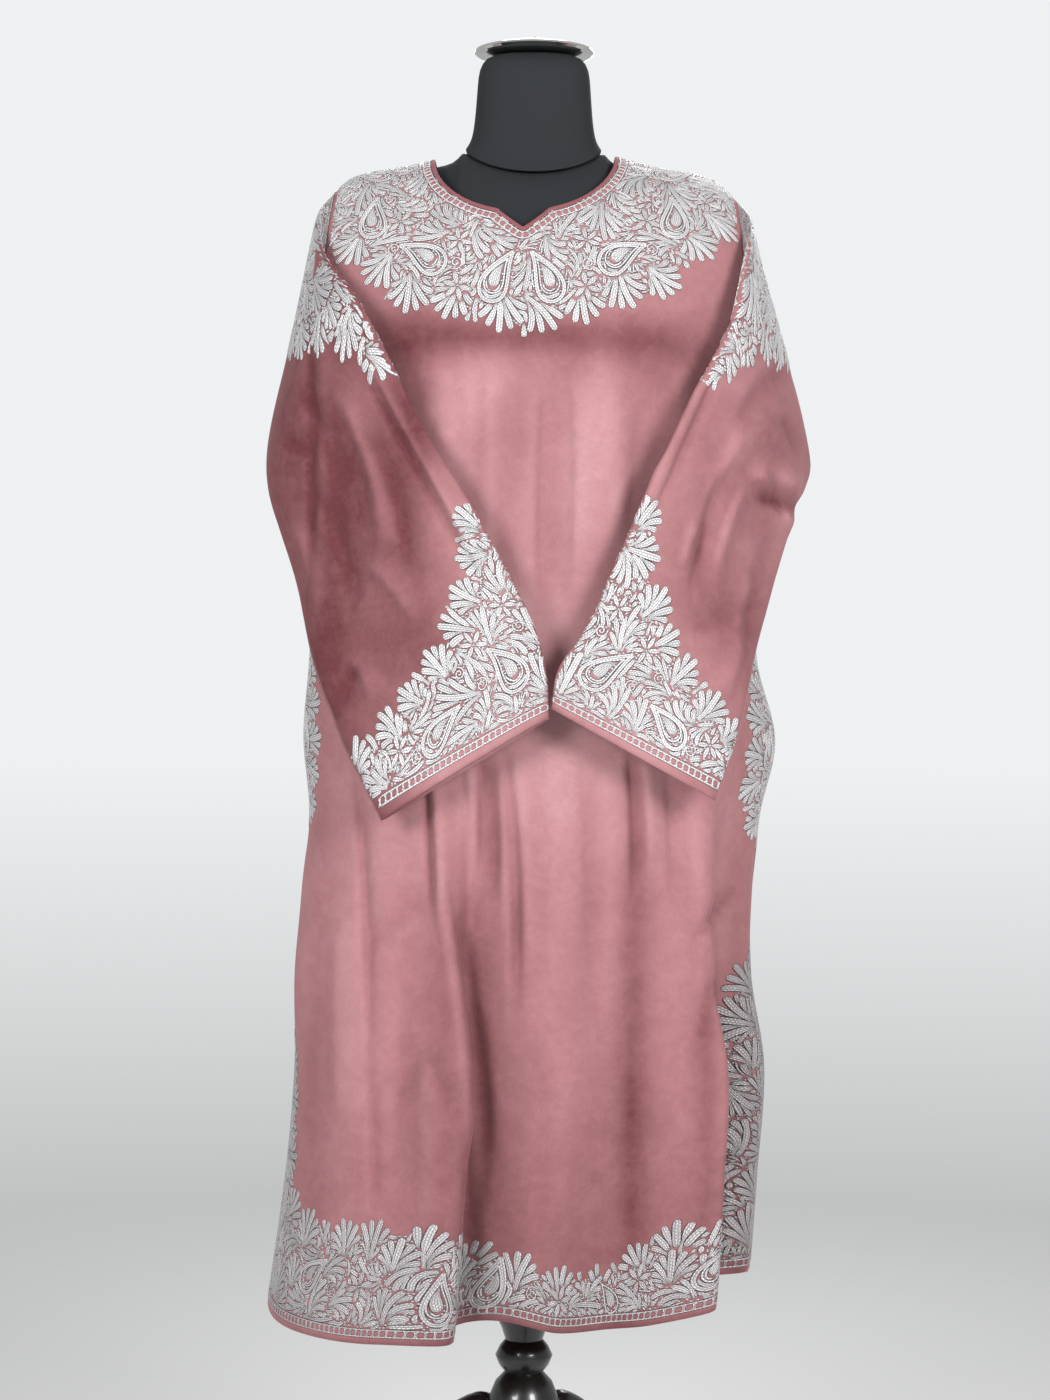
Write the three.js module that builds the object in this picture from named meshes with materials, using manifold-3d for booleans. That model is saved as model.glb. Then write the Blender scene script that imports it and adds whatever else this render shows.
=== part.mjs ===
// A velvet pheran on a limbless dress form with a turned wooden stand.
// Millimetres, +Z up, the front faces -Y and the floor is z = 0. Left and right are as seen from
// the front. The tables place everything round the form's upright axis, and the finished group is
// moved so that its origin lies on the floor below the middle of the whole.
import * as THREE from 'three';
import { mergeVertices } from 'three/addons/utils/BufferGeometryUtils.js';
import Module from 'manifold-3d';

const wasm = await Module();
wasm.setup();

// ---------------------------------------------------------------- driving sizes
const MIDDLE = { x: -7, y: 43 };   // where the form's axis stands, seen from the origin
const CLOTH = 2.0;            // thickness of velvet, its lining and the thread work
const SEAM = 0.3;             // gap between neighbouring pieces
const CHEST = 1240;           // height where the shoulders start to round over
const UNDERARM = 1128;        // height of the underarm point
const HEM = 306;              // height that the folds' hem places hold for
const FOLD_FADE = 120;        // drop over which a fold that stops above the hem fades out

const NOTCH = { half: 24, deep: 17 };
const BINDING = { width: 5, thick: 1.2, lift: 1.3 };

// Height of the shoulder ridge against the distance from the middle, on the bare form and at the
// middle of the cloth.
const RIDGE = [
  { out: 0, form: 1423, cloth: 1419 },
  { out: 68, form: 1420, cloth: 1416.6 },
  { out: 76, form: 1409.5, cloth: 1415.3 },
  { out: 95, form: 1406, cloth: 1410.6 },
  { out: 122, form: 1401.8, cloth: 1404 },
  { out: 150, form: 1397.7, cloth: 1399.7 },
  { out: 168, form: 1392.9, cloth: 1395 },
  { out: 180, form: 1385, cloth: 1388 },
  { out: 196, form: 1370, cloth: 1372 },
];

// Level sections of the pheran: reach to each side, to the front and to the back.
const FRONT_SECTIONS = [
  { z: 1240, left: 245, right: 247, deep: 117, square: 2.3 },
  { z: 1128, left: 207, right: 212, deep: 127, square: 2.3 },
  { z: 1040, left: 206, right: 212, deep: 127, square: 2.3 },
  { z: 933, left: 210, right: 217, deep: 125, square: 2.3 },
  { z: 857, left: 215, right: 235, deep: 124, square: 2.3 },
  { z: 786, left: 209, right: 221, deep: 125, square: 2.25 },
  { z: 700, left: 216, right: 214, deep: 126, square: 2.2 },
  { z: 631, left: 222, right: 214, deep: 128, square: 2.2 },
  { z: 545, left: 221, right: 227, deep: 131, square: 2.2 },
  { z: 440, left: 229, right: 221, deep: 134, square: 2.2 },
  { z: 306, left: 247, right: 212, deep: 137, square: 2.2 },
];
const BACK_SECTIONS = [
  { z: 1240, left: 245, right: 247, deep: 118, square: 2.3 },
  { z: 1128, left: 207, right: 212, deep: 122, square: 2.3 },
  { z: 1040, left: 206, right: 212, deep: 122, square: 2.3 },
  { z: 933, left: 210, right: 217, deep: 124, square: 2.3 },
  { z: 857, left: 208, right: 216, deep: 127, square: 2.3 },
  { z: 786, left: 209, right: 221, deep: 130, square: 2.25 },
  { z: 700, left: 216, right: 214, deep: 136, square: 2.2 },
  { z: 631, left: 222, right: 214, deep: 142, square: 2.2 },
  { z: 545, left: 214, right: 216, deep: 149, square: 2.2 },
  { z: 440, left: 216, right: 214, deep: 158, square: 2.2 },
  { z: 306, left: 222, right: 214, deep: 170, square: 2.2 },
];

// Height of the hem across each panel, from its left edge (0) to its right edge (1).
const FRONT_HEM = [
  { across: 0, height: 319 },
  { across: 0.08, height: 309 },
  { across: 0.16, height: 304 },
  { across: 0.3, height: 302 },
  { across: 0.43, height: 309 },
  { across: 0.5, height: 322 },
  { across: 0.58, height: 312 },
  { across: 0.66, height: 312 },
  { across: 0.74, height: 317 },
  { across: 0.8, height: 332 },
  { across: 0.9, height: 350 },
  { across: 1, height: 354 },
];
const BACK_HEM = [
  { across: 0, height: 330 },
  { across: 0.25, height: 316 },
  { across: 0.5, height: 312 },
  { across: 0.75, height: 320 },
  { across: 1, height: 346 },
];

// Folds: their place across the panel where they start and at the hem, their half width as a
// share of the panel, how far they stand out (+) or in (-) and lean to the right (+) or left (-),
// the height they start at, the drop over which they reach full size, and the height they end at.
const FRONT_FOLDS = [
  { name: 'chest left', top: 0.38, hem: 0.38, half: 0.07, out: -4, from: 1235, grow: 90, end: 900 },
  { name: 'chest middle', top: 0.53, hem: 0.53, half: 0.06, out: -6, from: 1239, grow: 90, end: 880 },
  { name: 'chest ridge', top: 0.62, hem: 0.62, half: 0.06, out: 4, from: 1235, grow: 90, end: 880 },
  { name: 'chest right', top: 0.72, hem: 0.72, half: 0.06, out: -5, from: 1235, grow: 90, end: 880 },
  { name: 'left lobe', top: 0.26, hem: 0.27, half: 0.24, out: 16, from: 900, grow: 560 },
  { name: 'lip', top: 0.345, hem: 0.375, half: 0.075, out: 12, lean: 24, from: 960, grow: 460 },
  { name: 'fold floor', top: 0.4, hem: 0.445, half: 0.085, out: -44, lean: -20, from: 960, grow: 600 },
  { name: 'right plane', top: 0.68, hem: 0.66, half: 0.14, out: -22, from: 900, grow: 560 },
  { name: 'right ridge', top: 0.8, hem: 0.805, half: 0.07, out: 16, lean: 14, from: 930, grow: 420 },
  { name: 'right valley', top: 0.86, hem: 0.865, half: 0.08, out: -42, lean: -18, from: 900, grow: 420 },
];
const BACK_FOLDS = [
  { name: 'ridge left', top: 0.24, hem: 0.22, half: 0.12, out: 12, from: 1080, grow: 700 },
  { name: 'valley left', top: 0.38, hem: 0.37, half: 0.1, out: -18, from: 1150, grow: 740 },
  { name: 'ridge middle', top: 0.52, hem: 0.53, half: 0.1, out: 12, from: 1150, grow: 740 },
  { name: 'valley right', top: 0.66, hem: 0.68, half: 0.1, out: -20, from: 1120, grow: 740 },
  { name: 'ridge right', top: 0.8, hem: 0.81, half: 0.1, out: 10, from: 1080, grow: 700 },
];

// Columns of facets: shares of the panel's width at the shoulder tips, the neck corners and the
// notch, with the number of facets between them.
const FRONT_COLUMNS = [
  { to: 0.245, count: 7 },
  { to: 0.4725, count: 10 },
  { to: 0.7, count: 8 },
  { to: 1, count: 8 },
];
const BACK_COLUMNS = [
  { to: 0.245, count: 6 },
  { to: 0.4725, count: 5 },
  { to: 0.7, count: 5 },
  { to: 1, count: 6 },
];
const SHOULDER_ROWS = 7;
const ARMHOLE_ROWS = 3;
const FRONT_ROWS = 16;        // below the underarm
const BACK_ROWS = 12;

const PHERAN = {
  tips: [-188, 193],
  ridge: 'cloth',
  armhole: 75,
  neck: [0.245, 0.7],
  front: { sections: FRONT_SECTIONS, folds: FRONT_FOLDS, drop: 64, notch: NOTCH.deep, side: -1 },
  back: { sections: BACK_SECTIONS, folds: BACK_FOLDS, drop: 25, notch: 0, side: 1 },
};

// Sleeves: rows down the sleeve from the armhole. "top" is on the fold line along the top of the
// arm and "low" on the line along its underside; "back" and "fore" are the middles of the halves.
const SLEEVE_LEFT = [
  { at: 0.09, top: [-203, -34, 1354], low: [-234, 0, 1126],
    back: [-226, 38, 1246], fore: [-212, -70, 1236] },
  { at: 0.2, top: [-196, -92, 1310], low: [-249, -10, 1126],
    back: [-231, -16, 1232], fore: [-211, -67, 1205] },
  { at: 0.32, top: [-157, -138, 1254], low: [-239, -38, 1076],
    back: [-223, -86, 1178], fore: [-193, -78, 1158] },
  { at: 0.5, top: [-99, -149, 1142], low: [-219, -62, 1002],
    back: [-168, -117, 1073], fore: [-154, -98, 1071] },
  { at: 0.67, top: [-53, -159, 1067], low: [-200, -96, 925],
    back: [-132, -142, 999], fore: [-124, -120, 995] },
  { at: 0.84, top: [0, -165, 968], low: [-171, -124, 852],
    back: [-88, -157, 914], fore: [-84, -137, 908] },
  { at: 1, top: [16, -167, 877], low: [-134, -150, 783],
    back: [-60, -170, 832], fore: [-58, -151, 829] },
];
const SLEEVE_RIGHT = [
  { at: 0.09, top: [206, -36, 1352], low: [234, 0, 1120],
    back: [226, 36, 1244], fore: [213, -71, 1232] },
  { at: 0.2, top: [200, -92, 1308], low: [265, -8, 1113],
    back: [243, -19, 1224], fore: [218, -67, 1199] },
  { at: 0.32, top: [181, -128, 1240], low: [247, -30, 1072],
    back: [233, -78, 1164], fore: [207, -73, 1148] },
  { at: 0.5, top: [137, -146, 1150], low: [229, -60, 1005],
    back: [189, -112, 1076], fore: [178, -95, 1079] },
  { at: 0.67, top: [98, -156, 1066], low: [209, -94, 935],
    back: [158, -137, 999], fore: [151, -118, 1001] },
  { at: 0.84, top: [52, -163, 962], low: [194, -122, 870],
    back: [125, -155, 914], fore: [122, -134, 917] },
  { at: 1, top: [22, -166, 886], low: [170, -150, 804],
    back: [97, -170, 844], fore: [95, -150, 846] },
];
const SEAM_RUN = { at: 0.02, length: 3 };   // the sleeve leaves its seam straight for this far
const SLEEVE_ROWS = 14;
const SLEEVE_FULLNESS = 0.75;
const SLEEVE_SPREAD = 1.15;    // above 1, the rows lie closer together at the armhole

// Dress form: a smooth limbless torso under the cloth.
const FORM_SECTIONS = [
  { z: 1240, left: 172, right: 172, deep: 97, square: 2.3 },
  { z: 1160, left: 154, right: 154, deep: 112, square: 2.2 },
  { z: 1090, left: 137, right: 137, deep: 102, square: 2.15 },
  { z: 1005, left: 121, right: 121, deep: 84, square: 2.1 },
  { z: 905, left: 148, right: 148, deep: 95, square: 2.1 },
  { z: 805, left: 172, right: 172, deep: 105, square: 2.1 },
  { z: 720, left: 170, right: 170, deep: 104, square: 2.1 },
  { z: 660, left: 162, right: 162, deep: 100, square: 2.1 },
];
const FORM_BASE = 660;
const FORM_ROWS = 14;
const FORM_COLUMNS = [
  { to: 0.285, count: 6 },
  { to: 0.305, count: 1 },
  { to: 0.695, count: 10 },
  { to: 0.715, count: 1 },
  { to: 1, count: 6 },
];
const FORM = {
  tips: [-176, 176],
  ridge: 'form',
  armhole: 0,
  neck: [0.305, 0.695],
  front: { sections: FORM_SECTIONS, folds: [], drop: 31, notch: 0, side: -1 },
  back: { sections: FORM_SECTIONS, folds: [], drop: 13, notch: 0, side: 1 },
};
const FORM_NECK_TOP = 1512;
const FORM_NECK = [
  { climb: 0, shrink: 1 },
  { climb: 0.05, shrink: 0.93 },
  { climb: 0.14, shrink: 0.86 },
  { climb: 0.35, shrink: 0.82 },
  { climb: 0.7, shrink: 0.79 },
  { climb: 1, shrink: 0.755 },
];
const CAP = [
  { z: 1512.3, radius: 52 },
  { z: 1513.5, radius: 55 },
  { z: 1515.5, radius: 57.5 },
  { z: 1517.5, radius: 57 },
  { z: 1520, radius: 48 },
  { z: 1523, radius: 30 },
  { z: 1524.5, radius: 14 },
];
const KNOB = [
  { z: 1524.8, radius: 6 },
  { z: 1527, radius: 8 },
  { z: 1529.5, radius: 7 },
  { z: 1531, radius: 4 },
];

// Turned column: radius against height, from its foot to the plate under the torso.
const COLUMN = [
  { z: 118, radius: 7 },
  { z: 126, radius: 15 },
  { z: 140, radius: 20 },
  { z: 152, radius: 34 },
  { z: 214, radius: 34 },
  { z: 226, radius: 33 },
  { z: 240, radius: 27 },
  { z: 249, radius: 18.5 },
  { z: 256, radius: 24 },
  { z: 265, radius: 27.5 },
  { z: 274, radius: 23 },
  { z: 280, radius: 18 },
  { z: 292, radius: 22 },
  { z: 304, radius: 28 },
  { z: 322, radius: 30 },
  { z: 338, radius: 22 },
  { z: 352, radius: 17 },
  { z: 650, radius: 17 },
  { z: 653, radius: 60 },
  { z: 659.7, radius: 60 },
];
const COLUMN_SIDES = 24;
const LEGS = 3;
const LEG_TURN = 38;          // degrees from +X to the first leg
const LEG_SIDES = 10;
const LEG = [
  { out: 20, z: 203, thick: 17 },
  { out: 48, z: 213, thick: 15 },
  { out: 78, z: 196, thick: 14 },
  { out: 112, z: 152, thick: 13 },
  { out: 148, z: 98, thick: 11.5 },
  { out: 190, z: 52, thick: 11 },
  { out: 228, z: 28, thick: 12.5 },
  { out: 250, z: 12, thick: 15 },
  { out: 254, z: 0, thick: 15 },
];

// ---------------------------------------------------------------- small helpers
const mix = (a, b, t) => a + (b - a) * t;
const clamp = (t) => Math.min(1, Math.max(0, t));
const ease = (t) => clamp(t) * clamp(t) * (3 - 2 * clamp(t));
const vec = (x, y, z) => new THREE.Vector3(x, y, z);
const power = (value, exponent) => Math.sign(value) * Math.abs(value) ** exponent;

// Smooth value of one column of a table at a key, by a cubic through the rows on each side.
function tableValue(rows, keyName, key, column) {
  const rising = rows[rows.length - 1][keyName] > rows[0][keyName];
  const before = (row) => (rising ? row[keyName] <= key : row[keyName] >= key);
  let k = rows.findLastIndex(before);
  k = Math.min(rows.length - 2, Math.max(0, k));
  const [a, b] = [rows[k], rows[k + 1]];
  const slope = (i) => {
    const [p, q] = [rows[Math.max(0, i - 1)], rows[Math.min(rows.length - 1, i + 1)]];
    return (q[column] - p[column]) / (q[keyName] - p[keyName]);
  };
  const span = b[keyName] - a[keyName];
  const t = clamp((key - a[keyName]) / span);
  const blendA = (1 + 2 * t) * (1 - t) ** 2;
  const blendB = t * t * (3 - 2 * t);
  const turnA = t * (1 - t) ** 2 * span * slope(k);
  const turnB = t * t * (t - 1) * span * slope(k + 1);
  return a[column] * blendA + b[column] * blendB + turnA + turnB;
}

// ---------------------------------------------------------------- body surface
const OUTLINE_STEPS = 96;

// Half of a level section as points from its left edge to its right edge.
function outline(spec, half, z) {
  const at = (column) => tableValue(half.sections, 'z', z, column);
  const [left, right, deep, square] = ['left', 'right', 'deep', 'square'].map(at);
  const open = spec.armhole * Math.sqrt(ease((z - UNDERARM) / (CHEST - UNDERARM) * 1.2));
  const reach = Math.acos(clamp(open / deep) ** (square / 2));
  const points = [];
  for (let i = 0; i <= OUTLINE_STEPS; i++) {
    const angle = mix(-reach, reach, i / OUTLINE_STEPS);
    const side = angle < 0 ? left : right;
    const x = side * power(Math.sin(angle), 2 / square);
    const y = half.side * (deep * Math.max(0, Math.cos(angle)) ** (2 / square) + SEAM / 2);
    points.push(new THREE.Vector2(x, y));
  }
  return points;
}

// Point and direction at a share of an outline's length.
function alongOutline(points, share) {
  const lengths = [0];
  for (let i = 1; i < points.length; i++) {
    lengths.push(lengths[i - 1] + points[i].distanceTo(points[i - 1]));
  }
  const goal = clamp(share) * lengths[lengths.length - 1];
  let k = lengths.findLastIndex((length) => length <= goal);
  k = Math.min(points.length - 2, k);
  const t = (goal - lengths[k]) / (lengths[k + 1] - lengths[k]);
  const place = points[k].clone().lerp(points[k + 1], t);
  const along = points[k + 1].clone().sub(points[k]).normalize();
  return { place, along };
}

// Point of a half at a share of its width and a height below the chest, with its folds.
function sectionPoint(spec, half, share, z) {
  const { place, along } = alongOutline(outline(spec, half, z), share);
  const outward = new THREE.Vector2(-along.y, along.x).multiplyScalar(half.side);
  const edge = ease(Math.min(share, 1 - share) / 0.04);
  for (const fold of half.folds) {
    const { lean = 0, end = 0 } = fold;
    const drop = (fold.from - z) / (fold.from - HEM);
    const centre = mix(fold.top, fold.hem, clamp(drop));
    const away = (share - centre) / fold.half;
    if (Math.abs(away) >= 1 || z > fold.from) continue;
    const fade = ease((fold.from - z) / fold.grow) * (end ? ease((z - end) / FOLD_FADE) : 1);
    const size = (1 + Math.cos(Math.PI * away)) / 2 * fade * edge;
    place.addScaledVector(outward, fold.out * size);
    place.x += lean * size;
  }
  return vec(place.x, place.y, z);
}

// Place across the top edge: even along the shoulders, and even round the curve of the neck.
function topX(spec, share) {
  const [from, to] = spec.neck;
  const across = clamp((share - from) / (to - from));
  const round = (1 - Math.cos(Math.PI * ease(across))) / 2;
  const even = share > from && share < to ? mix(from, to, round) : share;
  return mix(spec.tips[0], spec.tips[1], even);
}
const ridgeHeight = (spec, x) => tableValue(RIDGE, 'out', Math.abs(x), spec.ridge);

// Height of a half's top edge: the shoulder ridge, or the neck edge between its two corners.
function topHeight(spec, half, share) {
  const x = topX(spec, share);
  const [from, to] = spec.neck.map((corner) => topX(spec, corner));
  if (x <= from || x >= to) return ridgeHeight(spec, x);
  const corners = mix(ridgeHeight(spec, from), ridgeHeight(spec, to), (x - from) / (to - from));
  const away = Math.abs(x - (from + to) / 2);
  const round = Math.sqrt(1 - (2 * away / (to - from)) ** 2);
  return corners - half.drop * round - half.notch * Math.max(0, 1 - away / NOTCH.half);
}

// Point on the rounded shoulder: turn goes from 0 at the top edge to 1 at chest height.
function shoulderPoint(spec, half, share, turn) {
  const x = topX(spec, share);
  const ridge = ridgeHeight(spec, x);
  const low = sectionPoint(spec, half, share, CHEST);
  const start = Math.acos(clamp((topHeight(spec, half, share) - CHEST) / (ridge - CHEST)));
  const angle = mix(start, Math.PI / 2, turn);
  const sink = 1 - Math.cos(angle) / Math.cos(start);
  const y = half.side * SEAM / 2 + (low.y - half.side * SEAM / 2) * Math.sin(angle);
  return vec(mix(x, low.x, sink), y, mix(CHEST, ridge, Math.cos(angle)));
}

const shares = (columns) => {
  const list = [0];
  for (const { to, count } of columns) {
    const from = list[list.length - 1];
    for (let i = 1; i <= count; i++) list.push(mix(from, to, i / count));
  }
  return list;
};

// Grid of points of one half: rows from the shoulder down to the base, columns from left to right.
function halfGrid(spec, half, columns, lowRows, base) {
  const across = shares(columns);
  const grid = [];
  for (let i = 0; i <= SHOULDER_ROWS; i++) {
    grid.push(across.map((share) => shoulderPoint(spec, half, share, i / SHOULDER_ROWS)));
  }
  for (let i = 1; i <= ARMHOLE_ROWS; i++) {
    const z = mix(CHEST, UNDERARM, i / ARMHOLE_ROWS);
    grid.push(across.map((share) => sectionPoint(spec, half, share, z)));
  }
  for (let i = 1; i <= lowRows; i++) {
    const height = (share) => mix(UNDERARM, base(share), i / lowRows);
    grid.push(across.map((share) => sectionPoint(spec, half, share, height(share))));
  }
  return grid;
}

// ---------------------------------------------------------------- solids
function geometryOf(points, triangles) {
  const geometry = new THREE.BufferGeometry();
  const numbers = points.flatMap((p) => p.toArray());
  geometry.setAttribute('position', new THREE.Float32BufferAttribute(numbers, 3));
  let volume = 0;
  for (const [a, b, c] of triangles) volume += points[a].dot(points[b].clone().cross(points[c]));
  const faces = volume < 0 ? triangles.map(([a, b, c]) => [a, c, b]) : triangles;
  geometry.setIndex(faces.flat());
  return mergeVertices(geometry, 1e-3);
}

// Unit normals of a grid's points, from the facets round each, pointing "down" crossed with "along".
function gridNormals(grid, around) {
  const columns = grid[0].length;
  const normals = grid.map((row) => row.map(() => vec(0, 0, 0)));
  const facet = (...corners) => {
    const [a, b, c] = corners.map(([i, j]) => grid[i][j % columns]);
    const area = b.clone().sub(a).cross(c.clone().sub(a));
    for (const [i, j] of corners) normals[i][j % columns].add(area);
  };
  for (let i = 0; i < grid.length - 1; i++) {
    for (let j = 0; j < (around ? columns : columns - 1); j++) {
      facet([i, j], [i + 1, j], [i + 1, j + 1]);
      facet([i, j], [i + 1, j + 1], [i, j + 1]);
    }
  }
  return normals.map((row) => row.map((normal) => normal.normalize()));
}

// Where panels meet at the shoulder and side seams, their edges stand square to the seam plane.
function squareSeams(normals, [neckFrom, neckTo]) {
  const last = normals[0].length - 1;
  const shoulder = normals[0].filter((_, j) => j <= neckFrom || j >= neckTo);
  const sides = normals.slice(SHOULDER_ROWS + ARMHOLE_ROWS).flatMap((row) => [row[0], row[last]]);
  for (const normal of [...shoulder, ...sides]) normal.setY(0).normalize();
}

// The two faces of a cloth wall on either side of a grid.
function faces(grid, thickness, { around = false, flip = 1, lift = 0, neck = null } = {}) {
  const normals = gridNormals(grid, around);
  if (neck) squareSeams(normals, neck);
  const move = (distance) => grid.map((row, i) => row.map((p, j) => (
    p.clone().addScaledVector(normals[i][j], flip * (distance + lift))
  )));
  return { outer: move(thickness / 2), inner: move(-thickness / 2) };
}

// Whether a cell of a grid is split along its other diagonal, which is the shorter one.
function turned(grid, i, j) {
  const next = (j + 1) % grid[0].length;
  return grid[i + 1][j].distanceTo(grid[i][next]) < grid[i][j].distanceTo(grid[i + 1][next]);
}

// Closed wall between its outer and inner face.
function wall({ outer, inner }, around = false) {
  const [rows, columns] = [outer.length, outer[0].length];
  const points = [...outer.flat(), ...inner.flat()];
  const at = (side, i, j) => side * rows * columns + i * columns + (j % columns);
  const triangles = [];
  const quad = (a, b, c, d) => triangles.push([a, b, c], [a, c, d]);
  const last = around ? columns : columns - 1;
  for (let i = 0; i < rows - 1; i++) {
    for (let j = 0; j < last; j++) {
      const corners = [[i, j], [i + 1, j], [i + 1, j + 1], [i, j + 1]];
      if (turned(outer, i, j)) corners.push(corners.shift());
      quad(...corners.map(([row, column]) => at(0, row, column)));
      quad(...corners.toReversed().map(([row, column]) => at(1, row, column)));
    }
  }
  for (let j = 0; j < last; j++) {
    quad(at(0, 0, j), at(0, 0, j + 1), at(1, 0, j + 1), at(1, 0, j));
    quad(at(0, rows - 1, j), at(1, rows - 1, j), at(1, rows - 1, j + 1), at(0, rows - 1, j + 1));
  }
  if (!around) {
    for (let i = 0; i < rows - 1; i++) {
      quad(at(0, i, 0), at(1, i, 0), at(1, i + 1, 0), at(0, i + 1, 0));
      quad(at(0, i, last), at(0, i + 1, last), at(1, i + 1, last), at(1, i, last));
    }
  }
  return geometryOf(points, triangles);
}

// Closed solid through rings of equal count, with a fan on each end.
function loft(rings) {
  const count = rings[0].length;
  const points = rings.flat();
  const triangles = [];
  for (let i = 0; i < rings.length - 1; i++) {
    for (let j = 0; j < count; j++) {
      const [a, b] = [i * count + j, i * count + (j + 1) % count];
      triangles.push([a, a + count, b + count], [a, b + count, b]);
    }
  }
  for (const [ring, turn] of [[0, 1], [rings.length - 1, -1]]) {
    const middle = points.length;
    const centre = rings[ring].reduce((sum, p) => sum.add(p), vec(0, 0, 0)).divideScalar(count);
    points.push(centre);
    for (let j = 0; j < count; j++) {
      const [a, b] = [ring * count + j, ring * count + (j + 1) % count];
      triangles.push(turn > 0 ? [middle, a, b] : [middle, b, a]);
    }
  }
  return geometryOf(points, triangles);
}

function solidOf(geometry) {
  const merged = geometry.clone();
  merged.deleteAttribute('normal');
  merged.deleteAttribute('uv');
  const clean = mergeVertices(merged, 1e-3);
  const vertProperties = clean.attributes.position.array;
  const triVerts = new Uint32Array(clean.index.array);
  return new wasm.Manifold(new wasm.Mesh({ numProp: 3, vertProperties, triVerts }));
}

function cut(geometry, tool) {
  const result = solidOf(geometry).subtract(solidOf(tool)).getMesh();
  const cutGeometry = new THREE.BufferGeometry();
  cutGeometry.setAttribute('position', new THREE.Float32BufferAttribute(result.vertProperties, 3));
  cutGeometry.setIndex([...result.triVerts]);
  return cutGeometry;
}

// ---------------------------------------------------------------- garment
const neckEnds = (columns) => [columns[0].count, columns[0].count + columns[1].count + columns[2].count];
const hemHeight = (hem) => (share) => tableValue(hem, 'across', share, 'height');
const frontGrid = halfGrid(PHERAN, PHERAN.front, FRONT_COLUMNS, FRONT_ROWS, hemHeight(FRONT_HEM));
const backGrid = halfGrid(PHERAN, PHERAN.back, BACK_COLUMNS, BACK_ROWS, hemHeight(BACK_HEM));
const frontNeck = neckEnds(FRONT_COLUMNS);
const backNeck = neckEnds(BACK_COLUMNS);
const frontFaces = faces(frontGrid, CLOTH, { neck: frontNeck });
const backFaces = faces(backGrid, CLOTH, { flip: -1, neck: backNeck });

// One ring of a sleeve: top fold, front half, low line, back half. "steps" are the armhole
// points' heights, from 1 at the shoulder to -1 at the underarm, so that the lines run straight.
function sleeveRing(row, steps) {
  const [top, low, back, fore] = ['top', 'low', 'back', 'fore'].map((name) => vec(...row[name]));
  const middle = top.clone().add(low).divideScalar(2);
  const reach = top.clone().sub(middle);
  return steps.map((step, k) => {
    const bulge = (k < steps.length / 2 ? fore : back).clone().sub(middle);
    const swell = Math.max(0, 1 - step * step) ** (SLEEVE_FULLNESS / 2);
    return middle.clone().addScaledVector(reach, step).addScaledVector(bulge, swell);
  });
}

// Points round an opening, each from one or both panels, with the direction square to the cloth
// and the direction in its plane across the edge.
function opening(entries, turn) {
  const average = (side) => entries.map((entry) => entry
    .reduce((sum, [panel, i, j]) => sum.add(panel[side][i][j]), vec(0, 0, 0))
    .divideScalar(entry.length));
  const ring = { outer: average('outer'), inner: average('inner') };
  ring.middle = ring.outer.map((p, k) => p.clone().lerp(ring.inner[k], 0.5));
  ring.normal = ring.outer.map((p, k) => p.clone().sub(ring.inner[k]).normalize());
  ring.away = ring.middle.map((p, k) => {
    const next = ring.middle[(k + 1) % entries.length];
    const last = ring.middle[(k + entries.length - 1) % entries.length];
    return next.clone().sub(last).cross(ring.normal[k]).multiplyScalar(turn).normalize();
  });
  return ring;
}
const shift = (points, ways, distance) => points.map((p, k) => (
  p.clone().addScaledVector(ways[k], distance)
));

// The armhole: down the front edge from the shoulder and up the back edge, with the way out of it.
function armhole(column, turn) {
  const rows = SHOULDER_ROWS + ARMHOLE_ROWS;
  const front = (i) => [frontFaces, i, column(frontGrid)];
  const back = (i) => [backFaces, i, column(backGrid)];
  const entries = [];
  for (let i = 0; i < 2 * rows; i++) {
    if (i === 0 || i === rows) entries.push([front(i), back(i)]);
    else entries.push([i < rows ? front(i) : back(2 * rows - i)]);
  }
  return opening(entries, turn);
}

// The neck edge on the panels' outer faces, along the front from left to right and back along the
// back, and the line on the cloth one binding's width away from it.
function neckLines() {
  const [frontFrom, frontTo] = frontNeck;
  const [backFrom, backTo] = backNeck;
  const edge = [];
  const line = [];
  const addEdge = (entries, seam) => {
    const [[panel, , j]] = entries;
    const start = opening([entries], 1);
    const towards = seam ? panel.outer[0][j + seam] : panel.outer[1][j];
    const way = towards.clone().sub(panel.outer[0][j]).normalize();
    const raised = start.outer[0].addScaledVector(start.normal[0], BINDING.lift);
    edge.push(raised);
    line.push(raised.clone().addScaledVector(way, BINDING.width));
  };
  addEdge([[frontFaces, 0, frontFrom], [backFaces, 0, backFrom]], -1);
  for (let j = frontFrom + 1; j < frontTo; j++) addEdge([[frontFaces, 0, j]], 0);
  addEdge([[frontFaces, 0, frontTo], [backFaces, 0, backTo]], 1);
  for (let j = backTo - 1; j > backFrom; j--) addEdge([[backFaces, 0, j]], 0);
  return [edge, line];
}

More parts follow.
